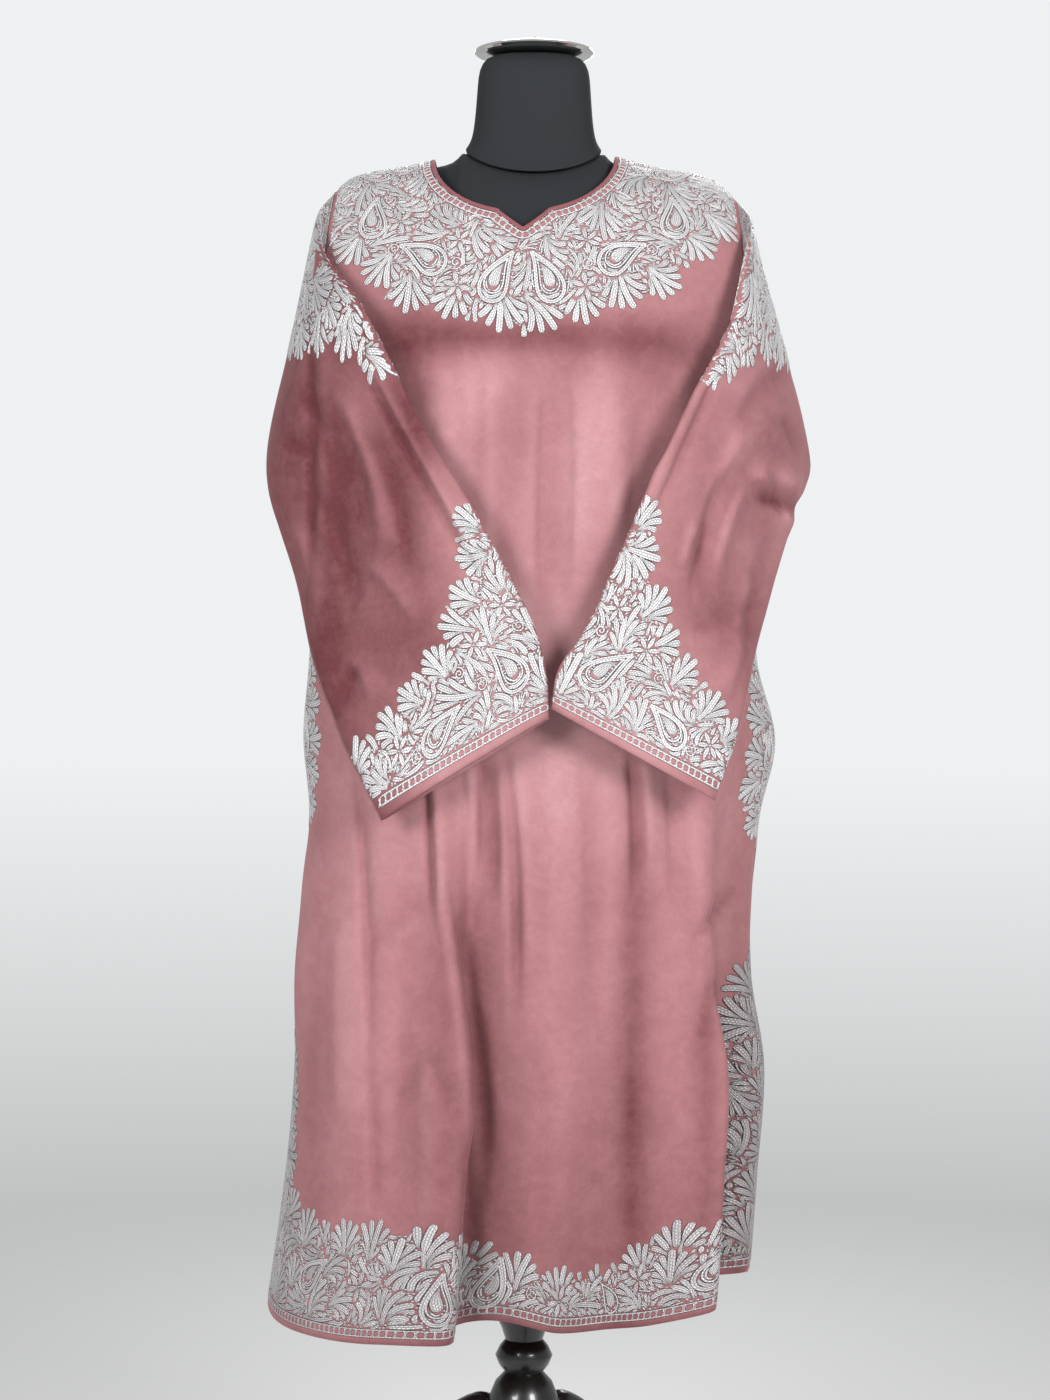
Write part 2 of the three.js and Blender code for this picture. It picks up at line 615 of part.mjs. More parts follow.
function sleeve(table, column, turn) {
  const hole = armhole(column, turn);
  const top = hole.middle[0].z;
  const steps = hole.middle.map((p) => clamp((p.z - UNDERARM) / (top - UNDERARM)) * 2 - 1);
  const seamRun = shift(hole.middle, hole.away, SEAM_RUN.length);
  const rings = [hole.middle, seamRun, ...table.map((row) => sleeveRing(row, steps))];
  const places = [0, SEAM_RUN.at, ...table.map((row) => row.at)];
  const grid = [];
  for (let i = 0; i <= SLEEVE_ROWS; i++) {
    const at = (i / SLEEVE_ROWS) ** SLEEVE_SPREAD;
    grid.push(hole.middle.map((_, k) => {
      const rows = rings.map((ring, n) => ({ at: places[n], x: ring[k].x, y: ring[k].y, z: ring[k].z }));
      return vec(...['x', 'y', 'z'].map((name) => tableValue(rows, 'at', at, name)));
    }));
  }
  const shell = faces(grid, CLOTH, { around: true, flip: turn });
  shell.outer[0] = shift(hole.outer, hole.away, SEAM);
  shell.inner[0] = shift(hole.inner, hole.away, SEAM);
  return wall(shell, true);
}

// Binding round the neck: a narrow band laid on the panels' outer faces beside the neck edge, and
// trimmed clear of them where they curve.
function neckBinding() {
  const lift = BINDING.thick / 2;
  const band = wall(faces(neckLines(), BINDING.thick, { around: true, lift }), true);
  const clearance = CLOTH + 2 * SEAM;
  const front = wall(faces(frontGrid, clearance, { neck: frontNeck }));
  const back = wall(faces(backGrid, clearance, { flip: -1, neck: backNeck }));
  return cut(cut(band, front), back);
}

const firstColumn = () => 0;
const lastColumn = (grid) => grid[0].length - 1;

// ---------------------------------------------------------------- dress form and stand
function torso() {
  const base = () => FORM_BASE;
  const front = halfGrid(FORM, FORM.front, FORM_COLUMNS, FORM_ROWS, base);
  const back = halfGrid(FORM, FORM.back, FORM_COLUMNS, FORM_ROWS, base);
  return { front, back };
}

// Loop of the torso's neck opening, or of any row lower down.
function torsoLoop(front, back, row, from, to) {
  const ahead = front[row].slice(from, to + 1);
  const behind = back[row].slice(from + 1, to).reverse();
  return [...ahead, ...behind];
}

const { front: torsoFront, back: torsoBack } = torso();
const neckFrom = FORM_COLUMNS[0].count + FORM_COLUMNS[1].count;
const neckTo = neckFrom + FORM_COLUMNS[2].count;

function torsoGeometry() {
  const columns = torsoFront[0].length;
  for (const grid of [torsoFront, torsoBack]) {
    for (const row of grid) for (const j of [0, columns - 1]) row[j].y = 0;
    for (let j = 0; j < columns; j++) if (j <= neckFrom || j >= neckTo) grid[0][j].y = 0;
  }
  const points = [];
  const add = (p) => points.push(p) - 1;
  const triangles = [];
  for (const [grid, turn] of [[torsoFront, 1], [torsoBack, -1]]) {
    const index = grid.map((row) => row.map(add));
    for (let i = 0; i < grid.length - 1; i++) {
      for (let j = 0; j < columns - 1; j++) {
        const cell = [index[i][j], index[i + 1][j], index[i + 1][j + 1], index[i][j + 1]];
        if (turned(grid, i, j)) cell.push(cell.shift());
        const [a, b, c, d] = cell;
        triangles.push(...(turn > 0 ? [[a, b, c], [a, c, d]] : [[a, c, b], [a, d, c]]));
      }
    }
  }
  const base = torsoFront.length - 1;
  for (const [row, from, to, turn] of [[0, neckFrom, neckTo, 1], [base, 0, columns - 1, -1]]) {
    const loop = torsoLoop(torsoFront, torsoBack, row, from, to);
    const middle = add(loop.reduce((sum, p) => sum.add(p), vec(0, 0, 0)).divideScalar(loop.length));
    const index = loop.map((p) => add(p.clone()));
    for (let k = 0; k < index.length; k++) {
      const [a, b] = [index[k], index[(k + 1) % index.length]];
      triangles.push(turn > 0 ? [middle, a, b] : [middle, b, a]);
    }
  }
  return geometryOf(points, triangles);
}

function neckGeometry() {
  const seam = torsoLoop(torsoFront, torsoBack, 0, neckFrom, neckTo);
  const rings = FORM_NECK.map(({ climb, shrink }) => seam.map((p) => (
    vec(p.x * shrink, p.y * shrink, mix(p.z + SEAM, FORM_NECK_TOP, climb))
  )));
  return loft(rings);
}

function lathe(rows, sides) {
  const profile = [vec(0, rows[0].z, 0), ...rows.map((row) => vec(row.radius, row.z, 0))];
  profile.push(vec(0, rows[rows.length - 1].z, 0));
  const geometry = new THREE.LatheGeometry(profile.map((p) => new THREE.Vector2(p.x, p.y)), sides);
  return geometry.rotateX(Math.PI / 2);
}

function legGeometry(turn) {
  const axis = new THREE.CatmullRomCurve3(LEG.map((row) => vec(row.out, 0, row.z)));
  const rings = LEG.map((row, k) => {
    const last = k === LEG.length - 1;
    const way = last ? vec(0, 0, -1) : axis.getTangent(k / (LEG.length - 1));
    const up = vec(0, 1, 0).cross(way).normalize();
    return Array.from({ length: LEG_SIDES }, (_, n) => {
      const angle = 2 * Math.PI * n / LEG_SIDES;
      return vec(row.out, 0, row.z)
        .addScaledVector(up, row.thick * Math.cos(angle))
        .addScaledVector(vec(0, 1, 0), row.thick * Math.sin(angle));
    });
  });
  const hub = lathe(COLUMN.slice(3, 6).map((row) => ({ z: row.z, radius: row.radius + SEAM })), 48);
  return cut(loft(rings), hub).rotateZ(THREE.MathUtils.degToRad(turn));
}

// ---------------------------------------------------------------- finishes and scene
const finish = (color, roughness, metalness) => (
  new THREE.MeshStandardMaterial({ color, roughness, metalness })
);
const VELVET = finish(0xb87a82, 0.85, 0);
const VELVET_EDGE = finish(0xb07078, 0.8, 0);
const JERSEY = finish(0x2f3336, 0.9, 0);
const CHROME = finish(0xc9c9c6, 0.15, 1);
const GILT = finish(0xb79a5a, 0.3, 1);
const BLACK_WOOD = finish(0x0d0c0c, 0.2, 0);

const pheran = new THREE.Group();
pheran.position.set(MIDDLE.x, MIDDLE.y, 0);

function piece(name, geometry, material) {
  const mesh = new THREE.Mesh(geometry, material);
  mesh.name = name;
  pheran.add(mesh);
}

piece('front_panel', wall(frontFaces), VELVET);
piece('back_panel', wall(backFaces), VELVET);
piece('sleeve_left', sleeve(SLEEVE_LEFT, firstColumn, 1), VELVET);
piece('sleeve_right', sleeve(SLEEVE_RIGHT, lastColumn, -1), VELVET);
piece('neck_binding', neckBinding(), VELVET_EDGE);
piece('neck_cap', lathe(CAP, 32), CHROME);
piece('cap_knob', lathe(KNOB, 12), GILT);
piece('form_torso', torsoGeometry(), JERSEY);
piece('form_neck', neckGeometry(), JERSEY);
piece('stand_column', lathe(COLUMN, COLUMN_SIDES), BLACK_WOOD);
for (let leg = 0; leg < LEGS; leg++) {
  piece(`stand_leg_${leg + 1}`, legGeometry(LEG_TURN + 360 * leg / LEGS), BLACK_WOOD);
}

export default pheran;
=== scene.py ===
# A long velvet pheran with silver thread embroidery, worn by a limbless dress form on a turned
# wooden stand. Garment sizes are in millimetres round the form's upright axis, as they are cut and
# hung; the meshes are in metres in the frame. The front faces -Y, left and right as seen from it.
import math
import random

import bmesh
import bpy
import numpy as np
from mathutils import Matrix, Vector


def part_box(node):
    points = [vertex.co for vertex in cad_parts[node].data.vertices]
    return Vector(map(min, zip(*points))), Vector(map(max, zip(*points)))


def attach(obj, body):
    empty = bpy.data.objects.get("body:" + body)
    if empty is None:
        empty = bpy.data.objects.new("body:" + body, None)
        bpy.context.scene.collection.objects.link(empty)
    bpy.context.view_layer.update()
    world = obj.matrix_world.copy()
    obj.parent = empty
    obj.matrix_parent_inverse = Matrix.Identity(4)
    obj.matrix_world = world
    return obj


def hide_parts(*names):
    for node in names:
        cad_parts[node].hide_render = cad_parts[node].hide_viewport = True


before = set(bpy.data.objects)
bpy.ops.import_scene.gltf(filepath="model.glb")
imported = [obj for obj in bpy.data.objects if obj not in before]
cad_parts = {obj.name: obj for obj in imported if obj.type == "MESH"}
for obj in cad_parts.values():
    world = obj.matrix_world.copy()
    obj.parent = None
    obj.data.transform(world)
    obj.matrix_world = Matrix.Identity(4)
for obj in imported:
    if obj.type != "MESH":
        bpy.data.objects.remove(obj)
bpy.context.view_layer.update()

MM = 0.001
QUARTER = math.pi / 2
COLUMN_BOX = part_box("stand_column")
AXIS = (COLUMN_BOX[0] + COLUMN_BOX[1]) / 2      # the form's upright axis, in the frame

# ---------------------------------------------------------------- sizes of the garment
CLOTH = 1.4           # velvet with its lining
SEAM = 0.3
CHEST = 1240          # height where the shoulders start to round over
UNDERARM = 1128
HEM = 306             # height that the folds' hem places hold for
LOWEST = 292          # the surfaces are worked out down to here
SHOULDER_DEEP, SHOULDER_HIGH = 117, 173          # the round of the shoulders
TIPS = (-188, 193)    # shoulder tips
NECK = (0.245, 0.7)   # neck corners, as shares of the width
NECK_MIDDLE = sum(NECK) / 2
NECK_EASE = 200       # the mesh's rows follow the neck edge down to here
NOTCH_HALF, NOTCH_DEEP = 24, 17
ARMHOLE, ARMHOLE_ROUND = 75, 1.2
SEAM_RUN = (0.02, 3)  # the sleeves leave the armhole square on: share of the way down, and how far
SLEEVE_FULLNESS = 0.75
SECTION_POINTS = 193
FLAT_EDGE = 0.04      # folds die out over this share of the width beside the side seams
FOLD_FADE = 120
CREASE_DEEP = 1.35    # how much deeper the creases lie than their tables say
CREASE_PAST = 0.08    # share of its length that a crease runs past its ends
CREASE_COMES, CREASE_GOES = 0.3, 0.4             # shares of its length where it grows and dies out
FRONT_HALF_CREASED = 0.5                         # how deep creases lie on a sleeve's front half
SLEEVE_RINGS, SLEEVE_CROWDED = 181, 1.1          # rings of a sleeve, closer to each other at the seam
CORNER_COLUMNS = (0, 0.0008, 0.0026, 0.006)      # from a neck corner inwards, shares of the width
COLUMNS_APART = 0.0015
STEEP, SOFT = 0.6, 1.45    # a crease's two sides, as shares of its half width
CREASE_PAINTED_LIGHT = 0.05        # painted light and shade in the creases: how much lighter the colour is painted, for a millimetre of a crease's height

RIDGE = [  # distance from the middle, height of the shoulder ridge
    (0, 1419), (68, 1416.6), (76, 1415.3), (95, 1410.6), (122, 1404), (150, 1399.7), (168, 1395),
    (180, 1388), (196, 1372),
]
FRONT_SECTIONS = [  # height, reach to the left, to the right and to the front, squareness
    (1240, 245, 247, 117, 2.3), (1128, 207, 212, 127, 2.3), (1040, 206, 212, 127, 2.3),
    (933, 210, 217, 125, 2.3), (857, 215, 235, 124, 2.3), (786, 209, 221, 125, 2.25),
    (700, 216, 214, 126, 2.2), (631, 222, 214, 128, 2.2), (545, 221, 227, 131, 2.2),
    (440, 229, 221, 134, 2.2), (306, 247, 212, 137, 2.2),
]
BACK_SECTIONS = [
    (1240, 245, 247, 118, 2.3), (1128, 207, 212, 122, 2.3), (1040, 206, 212, 122, 2.3),
    (933, 210, 217, 124, 2.3), (857, 208, 216, 127, 2.3), (786, 209, 221, 130, 2.25),
    (700, 216, 214, 136, 2.2), (631, 222, 214, 142, 2.2), (545, 214, 216, 149, 2.2),
    (440, 216, 214, 158, 2.2), (306, 222, 214, 170, 2.2),
]
FRONT_HEM = [  # place across, height
    (0, 319), (0.08, 309), (0.16, 304), (0.3, 302), (0.43, 309), (0.5, 322), (0.58, 312), (0.66, 312),
    (0.74, 317), (0.8, 332), (0.9, 350), (1, 354),
]
BACK_HEM = [(0, 330), (0.25, 316), (0.5, 312), (0.75, 320), (1, 346)]

# Folds: name, place across at the top and at the hem, half width, out, lean, height where it
# starts, drop over which it grows, height where it ends.
FRONT_FOLDS = [
    ("chest left", 0.38, 0.38, 0.07, -4, 0, 1235, 90, 900),
    ("chest middle", 0.53, 0.53, 0.06, -6, 0, 1239, 90, 880),
    ("chest ridge", 0.62, 0.62, 0.06, 4, 0, 1235, 90, 880),
    ("chest right", 0.72, 0.72, 0.06, -5, 0, 1235, 90, 880),
    ("left lobe", 0.26, 0.27, 0.24, 16, 0, 900, 560, 0),
    ("lip", 0.345, 0.375, 0.075, 12, 24, 960, 460, 0),
    ("fold floor", 0.4, 0.445, 0.085, -44, -20, 960, 600, 0),
    ("right plane", 0.68, 0.66, 0.14, -22, 0, 900, 560, 0),
    ("right ridge", 0.8, 0.805, 0.07, 16, 14, 930, 420, 0),
    ("right valley", 0.86, 0.865, 0.08, -42, -18, 900, 420, 0),
]
BACK_FOLDS = [
    ("ridge left", 0.24, 0.22, 0.12, 12, 0, 1080, 700, 0),
    ("valley left", 0.38, 0.37, 0.1, -18, 0, 1150, 740, 0),
    ("ridge middle", 0.52, 0.53, 0.1, 12, 0, 1150, 740, 0),
    ("valley right", 0.66, 0.68, 0.1, -20, 0, 1120, 740, 0),
    ("ridge right", 0.8, 0.81, 0.1, 10, 0, 1080, 700, 0),
]

# Sleeves: share of the way down, then the top fold, the low line, the middle of the back half and
# of the front half.
SLEEVE_LEFT = [
    (0.09, (-203, -34, 1354), (-234, 0, 1126), (-226, 38, 1246), (-212, -70, 1236)),
    (0.2, (-196, -92, 1310), (-249, -10, 1126), (-231, -16, 1232), (-211, -67, 1205)),
    (0.32, (-157, -138, 1254), (-239, -38, 1076), (-223, -86, 1178), (-193, -78, 1158)),
    (0.5, (-99, -149, 1142), (-219, -62, 1002), (-168, -117, 1073), (-154, -98, 1071)),
    (0.67, (-53, -159, 1067), (-200, -96, 925), (-132, -142, 999), (-124, -120, 995)),
    (0.84, (0, -165, 968), (-171, -124, 852), (-88, -157, 914), (-84, -137, 908)),
    (0.92, (14, -166, 921), (-152.5, -137, 817.5), (-74, -163.5, 873), (-71, -144, 868.5)),
    (1, (17, -167, 877), (-134, -150, 783), (-60, -170, 832), (-58, -151, 829)),
]
SLEEVE_RIGHT = [
    (0.09, (206, -36, 1352), (234, 0, 1120), (226, 36, 1244), (213, -71, 1232)),
    (0.2, (200, -92, 1308), (265, -8, 1113), (243, -19, 1224), (218, -67, 1199)),
    (0.32, (181, -128, 1240), (247, -30, 1072), (233, -78, 1164), (207, -73, 1148)),
    (0.5, (137, -146, 1150), (229, -60, 1005), (189, -112, 1076), (178, -95, 1079)),
    (0.67, (98, -156, 1066), (209, -94, 935), (158, -137, 999), (151, -118, 1001)),
    (0.84, (52, -163, 962), (194, -122, 870), (125, -155, 914), (122, -134, 917)),
    (0.92, (26.5, -165, 922), (182, -136, 837), (111, -162.5, 879), (108.5, -142, 881.5)),
    (1, (20.5, -166, 886), (170, -150, 804), (97, -170, 844), (95, -150, 846)),
]

# Creases: where each starts and ends in the front view (x, z), how far its middle
# bows to the right, its half width, and its depth (a trough is negative).
FRONT_CREASES = [
    ((-164, 842), (-146, 556), 3, 5.5, -3.4), ((-146, 556), (-138, 420), 0, 6, -2.2),
    ((-88, 742), (-45, 412), 6, 8, 2.6), ((-75, 742), (-33, 412), 6, 8, -3.4),
    ((-92, 850), (-80, 690), 2, 6, 4), ((-100, 852), (-90, 690), 2, 5, -4.5),
    ((-14, 846), (-2, 640), 4, 7, 3.2), ((-24, 846), (-12, 600), 4, 6, -4.2),
    ((-172, 700), (-168, 480), -4, 14, 2.2), ((-112, 770), (-120, 420), 6, 16, -2.6),
    ((-152, 655), (-84, 712), 6, 10, -2.5), ((-100, 600), (-92, 380), 4, 12, 2),
    ((-95, 572), (-72, 520), 3, 7, -2.2), ((-95, 572), (-118, 515), -3, 7, -2.2),
    ((-205, 760), (-214, 560), 0, 12, 2.5), ((-58, 846), (-54, 700), 4, 7, 3.2),
    ((-48, 850), (-44, 735), 3, 5, -3.5), ((-36, 826), (-34, 708), 2, 6, -2.5),
    ((-24, 840), (-22, 690), 2, 9, 2.4), ((-10, 850), (-8, 640), 3, 12, -2),
    ((22, 850), (18, 560), 5, 15, 1.8), ((50, 835), (56, 640), 4, 12, -2.2),
    ((84, 830), (78, 560), -5, 16, 2), ((92, 846), (97, 715), 2, 6, -4.5),
    ((105, 846), (112, 730), 2, 7, 3.5), ((126, 840), (134, 690), 3, 8, -2.4),
    ((150, 672), (196, 722), -4, 6, -4), ((170, 640), (150, 560), 3, 6, -3),
    ((150, 800), (158, 600), 6, 12, 2.2), ((30, 600), (26, 380), 3, 18, 1.6),
    ((100, 560), (104, 360), -4, 18, -1.6), ((-28, 1205), (-34, 990), 3, 13, -2.8),
    ((14, 1200), (12, 960), -2, 10, -3.4), ((42, 1190), (40, 985), 3, 10, 2.4),
    ((112, 1210), (92, 1030), -3, 14, -2.4), ((132, 1215), (140, 1130), 2, 12, 2),
    ((-92, 1215), (-78, 1110), 4, 14, 1.8), ((-120, 1225), (-100, 1160), 3, 10, -2),
    ((-60, 1225), (-56, 1130), 0, 12, 1.6),
]
BACK_CREASES = [
    ((-150, 1180), (-120, 980), 6, 16, -2.5), ((150, 1170), (110, 960), -6, 16, -2.5),
    ((-60, 1150), (-40, 900), 4, 18, 2), ((50, 1160), (60, 880), -4, 18, -2),
    ((-170, 820), (-150, 520), 6, 14, -3), ((-110, 760), (-118, 430), 3, 16, 2.4),
    ((-40, 700), (-30, 400), 5, 18, -2), ((30, 820), (20, 520), -4, 16, 2.2),
    ((90, 760), (104, 420), 5, 15, -2.8), ((160, 800), (150, 560), -6, 14, 2.6),
    ((-130, 640), (-80, 590), 4, 9, -2), ((120, 905), (60, 870), -4, 10, -2),
]
SLEEVE_CREASES = {
    "left": [
        ((-206, 1255), (-207, 965), 1, 5, -3), ((-196, 1240), (-198, 1010), 3, 7, 2.2),
        ((-182, 1180), (-136, 1020), 14, 10, 4.5), ((-160, 1150), (-112, 1000), 10, 8, -3.5),
        ((-152, 1022), (-104, 962), 5, 9, 3.5), ((-168, 935), (-144, 890), 5, 8, 3.5),
        ((-216, 1180), (-178, 1080), 8, 11, -3.5), ((-200, 1090), (-160, 960), 6, 9, -3),
        ((-222, 1060), (-196, 960), 4, 8, 3), ((-128, 1180), (-92, 1100), 2, 10, -2.5),
        ((-150, 1230), (-190, 1216), -3, 9, -2.5), ((-236, 1130), (-205, 1120), 2, 7, -3),
        ((-180, 870), (-150, 930), 3, 7, -2.5), ((-148, 1200), (-28, 985), 0, 4.5, 3.2),
        ((-158, 1195), (-38, 982), 0, 4, -2.6),
    ],
    "right": [
        ((240, 1212), (190, 1136), -10, 9, -4), ((206, 1165), (160, 992), -14, 12, 4.2),
        ((190, 1120), (148, 985), -8, 9, -3.2), ((216, 1112), (236, 1068), 4, 6, -3.5),
        ((200, 1106), (262, 1097), 0, 9, 6), ((208, 1083), (262, 1077), 0, 6, -6),
        ((226, 1096), (246, 1052), 4, 5, 3.5), ((142, 960), (206, 990), -8, 9, -3),
        ((190, 962), (208, 1010), 3, 8, 3), ((222, 1050), (200, 930), -5, 9, -3),
        ((140, 1180), (120, 1100), -2, 10, -2.5), ((230, 1160), (250, 1130), 2, 7, -3),
        ((180, 900), (196, 960), -2, 8, 2.5), ((164, 1240), (214, 1230), 3, 8, -2),
        ((176, 1110), (150, 1010), -4, 5, -3.4), ((198, 1096), (168, 1006), -5, 5, 3),
        ((228, 1078), (252, 1070), 1, 4, -3.5), ((150, 1062), (138, 1016), -2, 5, 3),
        ((160, 1205), (98, 1060), 0, 4.5, 3.2), ((170, 1200), (108, 1056), 0, 4, -2.6),
    ],
}

# Painted light and shade on the velvet, together with the lie of its pile: soft patches painted
# lighter or darker, each as place across, height, half width, half height, amount.
FRONT_PILE_AND_PAINTED_LIGHT = [
    (20, 1070, 130, 150, 0.22), (-122, 1120, 30, 120, -0.42), (-60, 1232, 110, 24, -0.38),
    (70, 1232, 60, 20, -0.26), (150, 1130, 34, 130, -0.2), (30, 850, 110, 90, 0.3),
    (10, 720, 60, 110, -0.02), (-140, 760, 50, 120, 0.1), (60, 300, 190, 230, -0.36),
    (-150, 300, 90, 150, -0.12), (-46, 540, 20, 250, -0.24), (98, 620, 15, 260, -0.34),
    (140, 700, 16, 240, 0.08), (168, 560, 12, 160, -0.2), (186, 620, 12, 220, 0.14),
    (-196, 620, 14, 220, -0.14), (-84, 520, 16, 200, -0.1), (-104, 700, 10, 120, 0.1),
    (60, 1000, 40, 60, -0.08), (-50, 1010, 30, 70, 0.08), (100, 1090, 30, 60, 0.12),
    (10, 960, 60, 40, 0.1), (-110, 900, 40, 60, 0.12), (120, 900, 40, 60, 0.1),
    (-40, 1226, 120, 16, -0.16), (112, 1216, 50, 28, -0.28), (-34, 1196, 20, 30, 0.2),
    (-8, 1150, 12, 90, -0.12), (66, 1160, 16, 70, 0.12), (34, 1200, 14, 40, -0.1),
    (-84, 1150, 22, 50, 0.1), (-46, 1150, 7, 70, -0.12), (88, 1140, 8, 60, -0.12),
    (-30, 790, 10, 60, -0.14), (-62, 780, 8, 50, 0.1), (70, 780, 12, 50, 0.1), (200, 500, 14, 220, -0.3),
    (-148, 620, 30, 160, 0.08), (-74, 600, 12, 160, -0.12), (-186, 330, 40, 60, 0.2),
    (-60, 350, 60, 30, 0.16), (120, 350, 60, 30, 0.12),
]
BACK_PILE_AND_PAINTED_LIGHT = [
    (0, 1100, 130, 150, 0.3), (-140, 1050, 30, 160, -0.3), (140, 1050, 30, 160, -0.3),
    (-60, 760, 60, 220, 0.16), (70, 720, 40, 240, -0.2), (0, 320, 220, 220, -0.3),
    (-120, 620, 20, 240, -0.2), (120, 600, 24, 260, 0.12),
]
SLEEVE_PILE_AND_PAINTED_LIGHT = {
    "left": [
        (-10, 880, 56, 60, 0.6), (-80, 830, 60, 44, 0.6), (-24, 960, 18, 50, 0.45),
        (-226, 1290, 40, 44, 0.3), (-190, 955, 24, 60, -0.14), (-66, 1050, 34, 110, 0.5),
        (-40, 970, 26, 60, 0.3), (-146, 1190, 26, 60, 0.22), (-205, 1235, 24, 60, 0.1),
        (-150, 980, 30, 36, 0.16), (-214, 1020, 20, 70, 0.1), (-120, 900, 34, 30, 0.12),
        (-178, 1090, 18, 60, -0.06), (-110, 1100, 20, 50, -0.05),
    ],
    "right": [
        (60, 880, 60, 60, 0.22), (124, 850, 46, 40, 0.24), (230, 1290, 40, 44, 0.16),
        (220, 1110, 26, 70, -0.16), (160, 1010, 30, 60, -0.14), (150, 930, 40, 40, 0.12),
        (120, 1080, 22, 90, 0.16), (200, 1190, 34, 34, 0.12), (236, 1060, 12, 50, 0.18),
        (190, 960, 22, 60, -0.18), (206, 1030, 26, 24, 0.14),
    ],
}

# Where the thread work lies.
FRONT_YOKE_EDGE = [  # distance across, height of the petals' tips
    (-200, 1318), (-173, 1299), (-163, 1291), (-144, 1277), (-134, 1265), (-122, 1256), (-95, 1251),
    (-76, 1248), (-61, 1243), (-35, 1238), (-6, 1229), (13, 1235), (31, 1244), (51, 1245), (75, 1257),
    (98, 1262), (115, 1264), (124, 1271), (140, 1292), (155, 1302), (186, 1331), (205, 1340),
]
BACK_YOKE_EDGE = [
    (-205, 1335), (-170, 1308), (-120, 1282), (-60, 1268), (0, 1258), (60, 1268), (120, 1282),
    (170, 1308), (205, 1335),
]
FRONT_HEM_REACH = [  # share of the width, height of the petals' tips above the hem
    (0, 256), (0.03, 262), (0.05, 240), (0.068, 190), (0.09, 140), (0.12, 118), (0.2, 108), (0.3, 110),
    (0.38, 102), (0.45, 80), (0.5, 64), (0.6, 58), (0.66, 62), (0.7, 76), (0.75, 90), (0.82, 86),
    (0.86, 128), (0.885, 190), (0.91, 262), (0.945, 306), (0.975, 312), (1, 290),
]
BACK_HEM_REACH = [
    (0, 245), (0.03, 262), (0.055, 215), (0.075, 160), (0.11, 125), (0.2, 100), (0.35, 108), (0.5, 124),
    (0.65, 108), (0.8, 100), (0.89, 125), (0.925, 160), (0.945, 215), (0.97, 262), (1, 245),
]
CUFF_REACH = [  # distance from the top fold, height of the petals' tips above the cuff
    (0, 211), (14, 205), (24, 175), (31, 160), (57, 141), (70, 125), (86, 112), (107, 103), (135, 88),
    (160, 76), (185, 66),
]
EDGE_ROW = 10         # middle of the chain of eyelets, from the finished edge
NECK_ROW = 7.6        # the same at the neck
CLEAR_OF_ROW = EDGE_ROW + 4.5
# How much lighter or darker the thread's colour is painted on each ground: painted light and shade.
YOKE_PAINTED_LIGHT, POCKET_PAINTED_LIGHT = 0.42, 0.3
HEM_STEP = 33
HEM_TURNS = [  # motifs in turn along the hem: how high between its low edge and the petals, lean
    ("paisley", 0.25, 1.9), ("star", 0.8, 1.2), ("fan", 0.1, 1.57), ("paisley", 0.6, 1.0),
    ("curl", 0.3, 0.4), ("star", 0.45, 2.0), ("fan", 0.7, 1.4),
]
YOKE_LAYOUT = [  # motif, across, down from the ridge, heading, size, side of the bent tip
    ("paisley", 25, 184, -1.75, 50, 1), ("paisley", 92, 160, -0.9, 50, -1),
    ("paisley", 148, 112, -1.3, 50, 1), ("star", 60, 194, 13, 6), ("star", 60, 150, 12, 6),
    ("star", 118, 122, 13, 6), ("star", 178, 84, 12, 5), ("curl", 62, 172, 0.5, 7, 1),
    ("curl", 122, 152, 2.0, 7, -1), ("curl", 170, 66, 1.0, 7, 1), ("curl", 130, 92, 1.0, 7, 1),
    ("paisley", 150, 42, -0.4, 42, 1), ("star", 118, 22, 12, 6), ("curl", 126, 62, 0.4, 6, 1),
]
BACK_YOKE_LAYOUT = [
    ("paisley", 0, 96, -1.57, 46, 1), ("star", 42, 112, 13, 6), ("paisley", 74, 84, -1.0, 42, 1),
    ("star", 112, 66, 13, 6), ("paisley", 140, 100, -1.3, 42, -1), ("fan", 104, 98, 1.4, 24),
    ("star", 166, 60, 12, 6), ("curl", 34, 78, 0.5, 7, 1), ("fan", 132, 36, 1.0, 24),
    ("curl", 160, 26, 1.2, 7, 1), ("fan", 40, 134, 1.4, 20),
]
CUFF_LAYOUT = [  # motif, from the top fold, up from the cuff, heading, size, side of the bent tip
    ("paisley", 30, 66, 1.35, 52, 1), ("paisley", 108, 42, 2.3, 46, -1), ("star", 58, 96, 12, 6),
    ("star", 152, 40, 12, 6), ("curl", 60, 60, 0.4, 7, 1), ("curl", 134, 28, 2.2, 7, -1),
    ("star", 18, 118, 11, 6), ("curl", 80, 78, 1.0, 6, 1), ("curl", 12, 96, 1.0, 6, -1),
]
SLEEVE_TOP_LAYOUT = [  # motif, from the top fold, down from the seam, heading, size, side
    ("paisley", 30, 40, 0.6, 44, 1), ("star", 66, 30, 13, 6), ("paisley", 84, 84, 1.2, 44, -1),
    ("star", 30, 92, 13, 6), ("fan", 36, 120, 1.2, 28), ("curl", 60, 62, 0.3, 7, 1),
    ("star", 122, 46, 13, 6), ("fan", 20, 176, 1.4, 22), ("curl", 104, 30, 0.3, 7, -1),
    ("paisley", 46, 150, 1.4, 36, 1), ("fan", 118, 86, 1.5, 24),
]

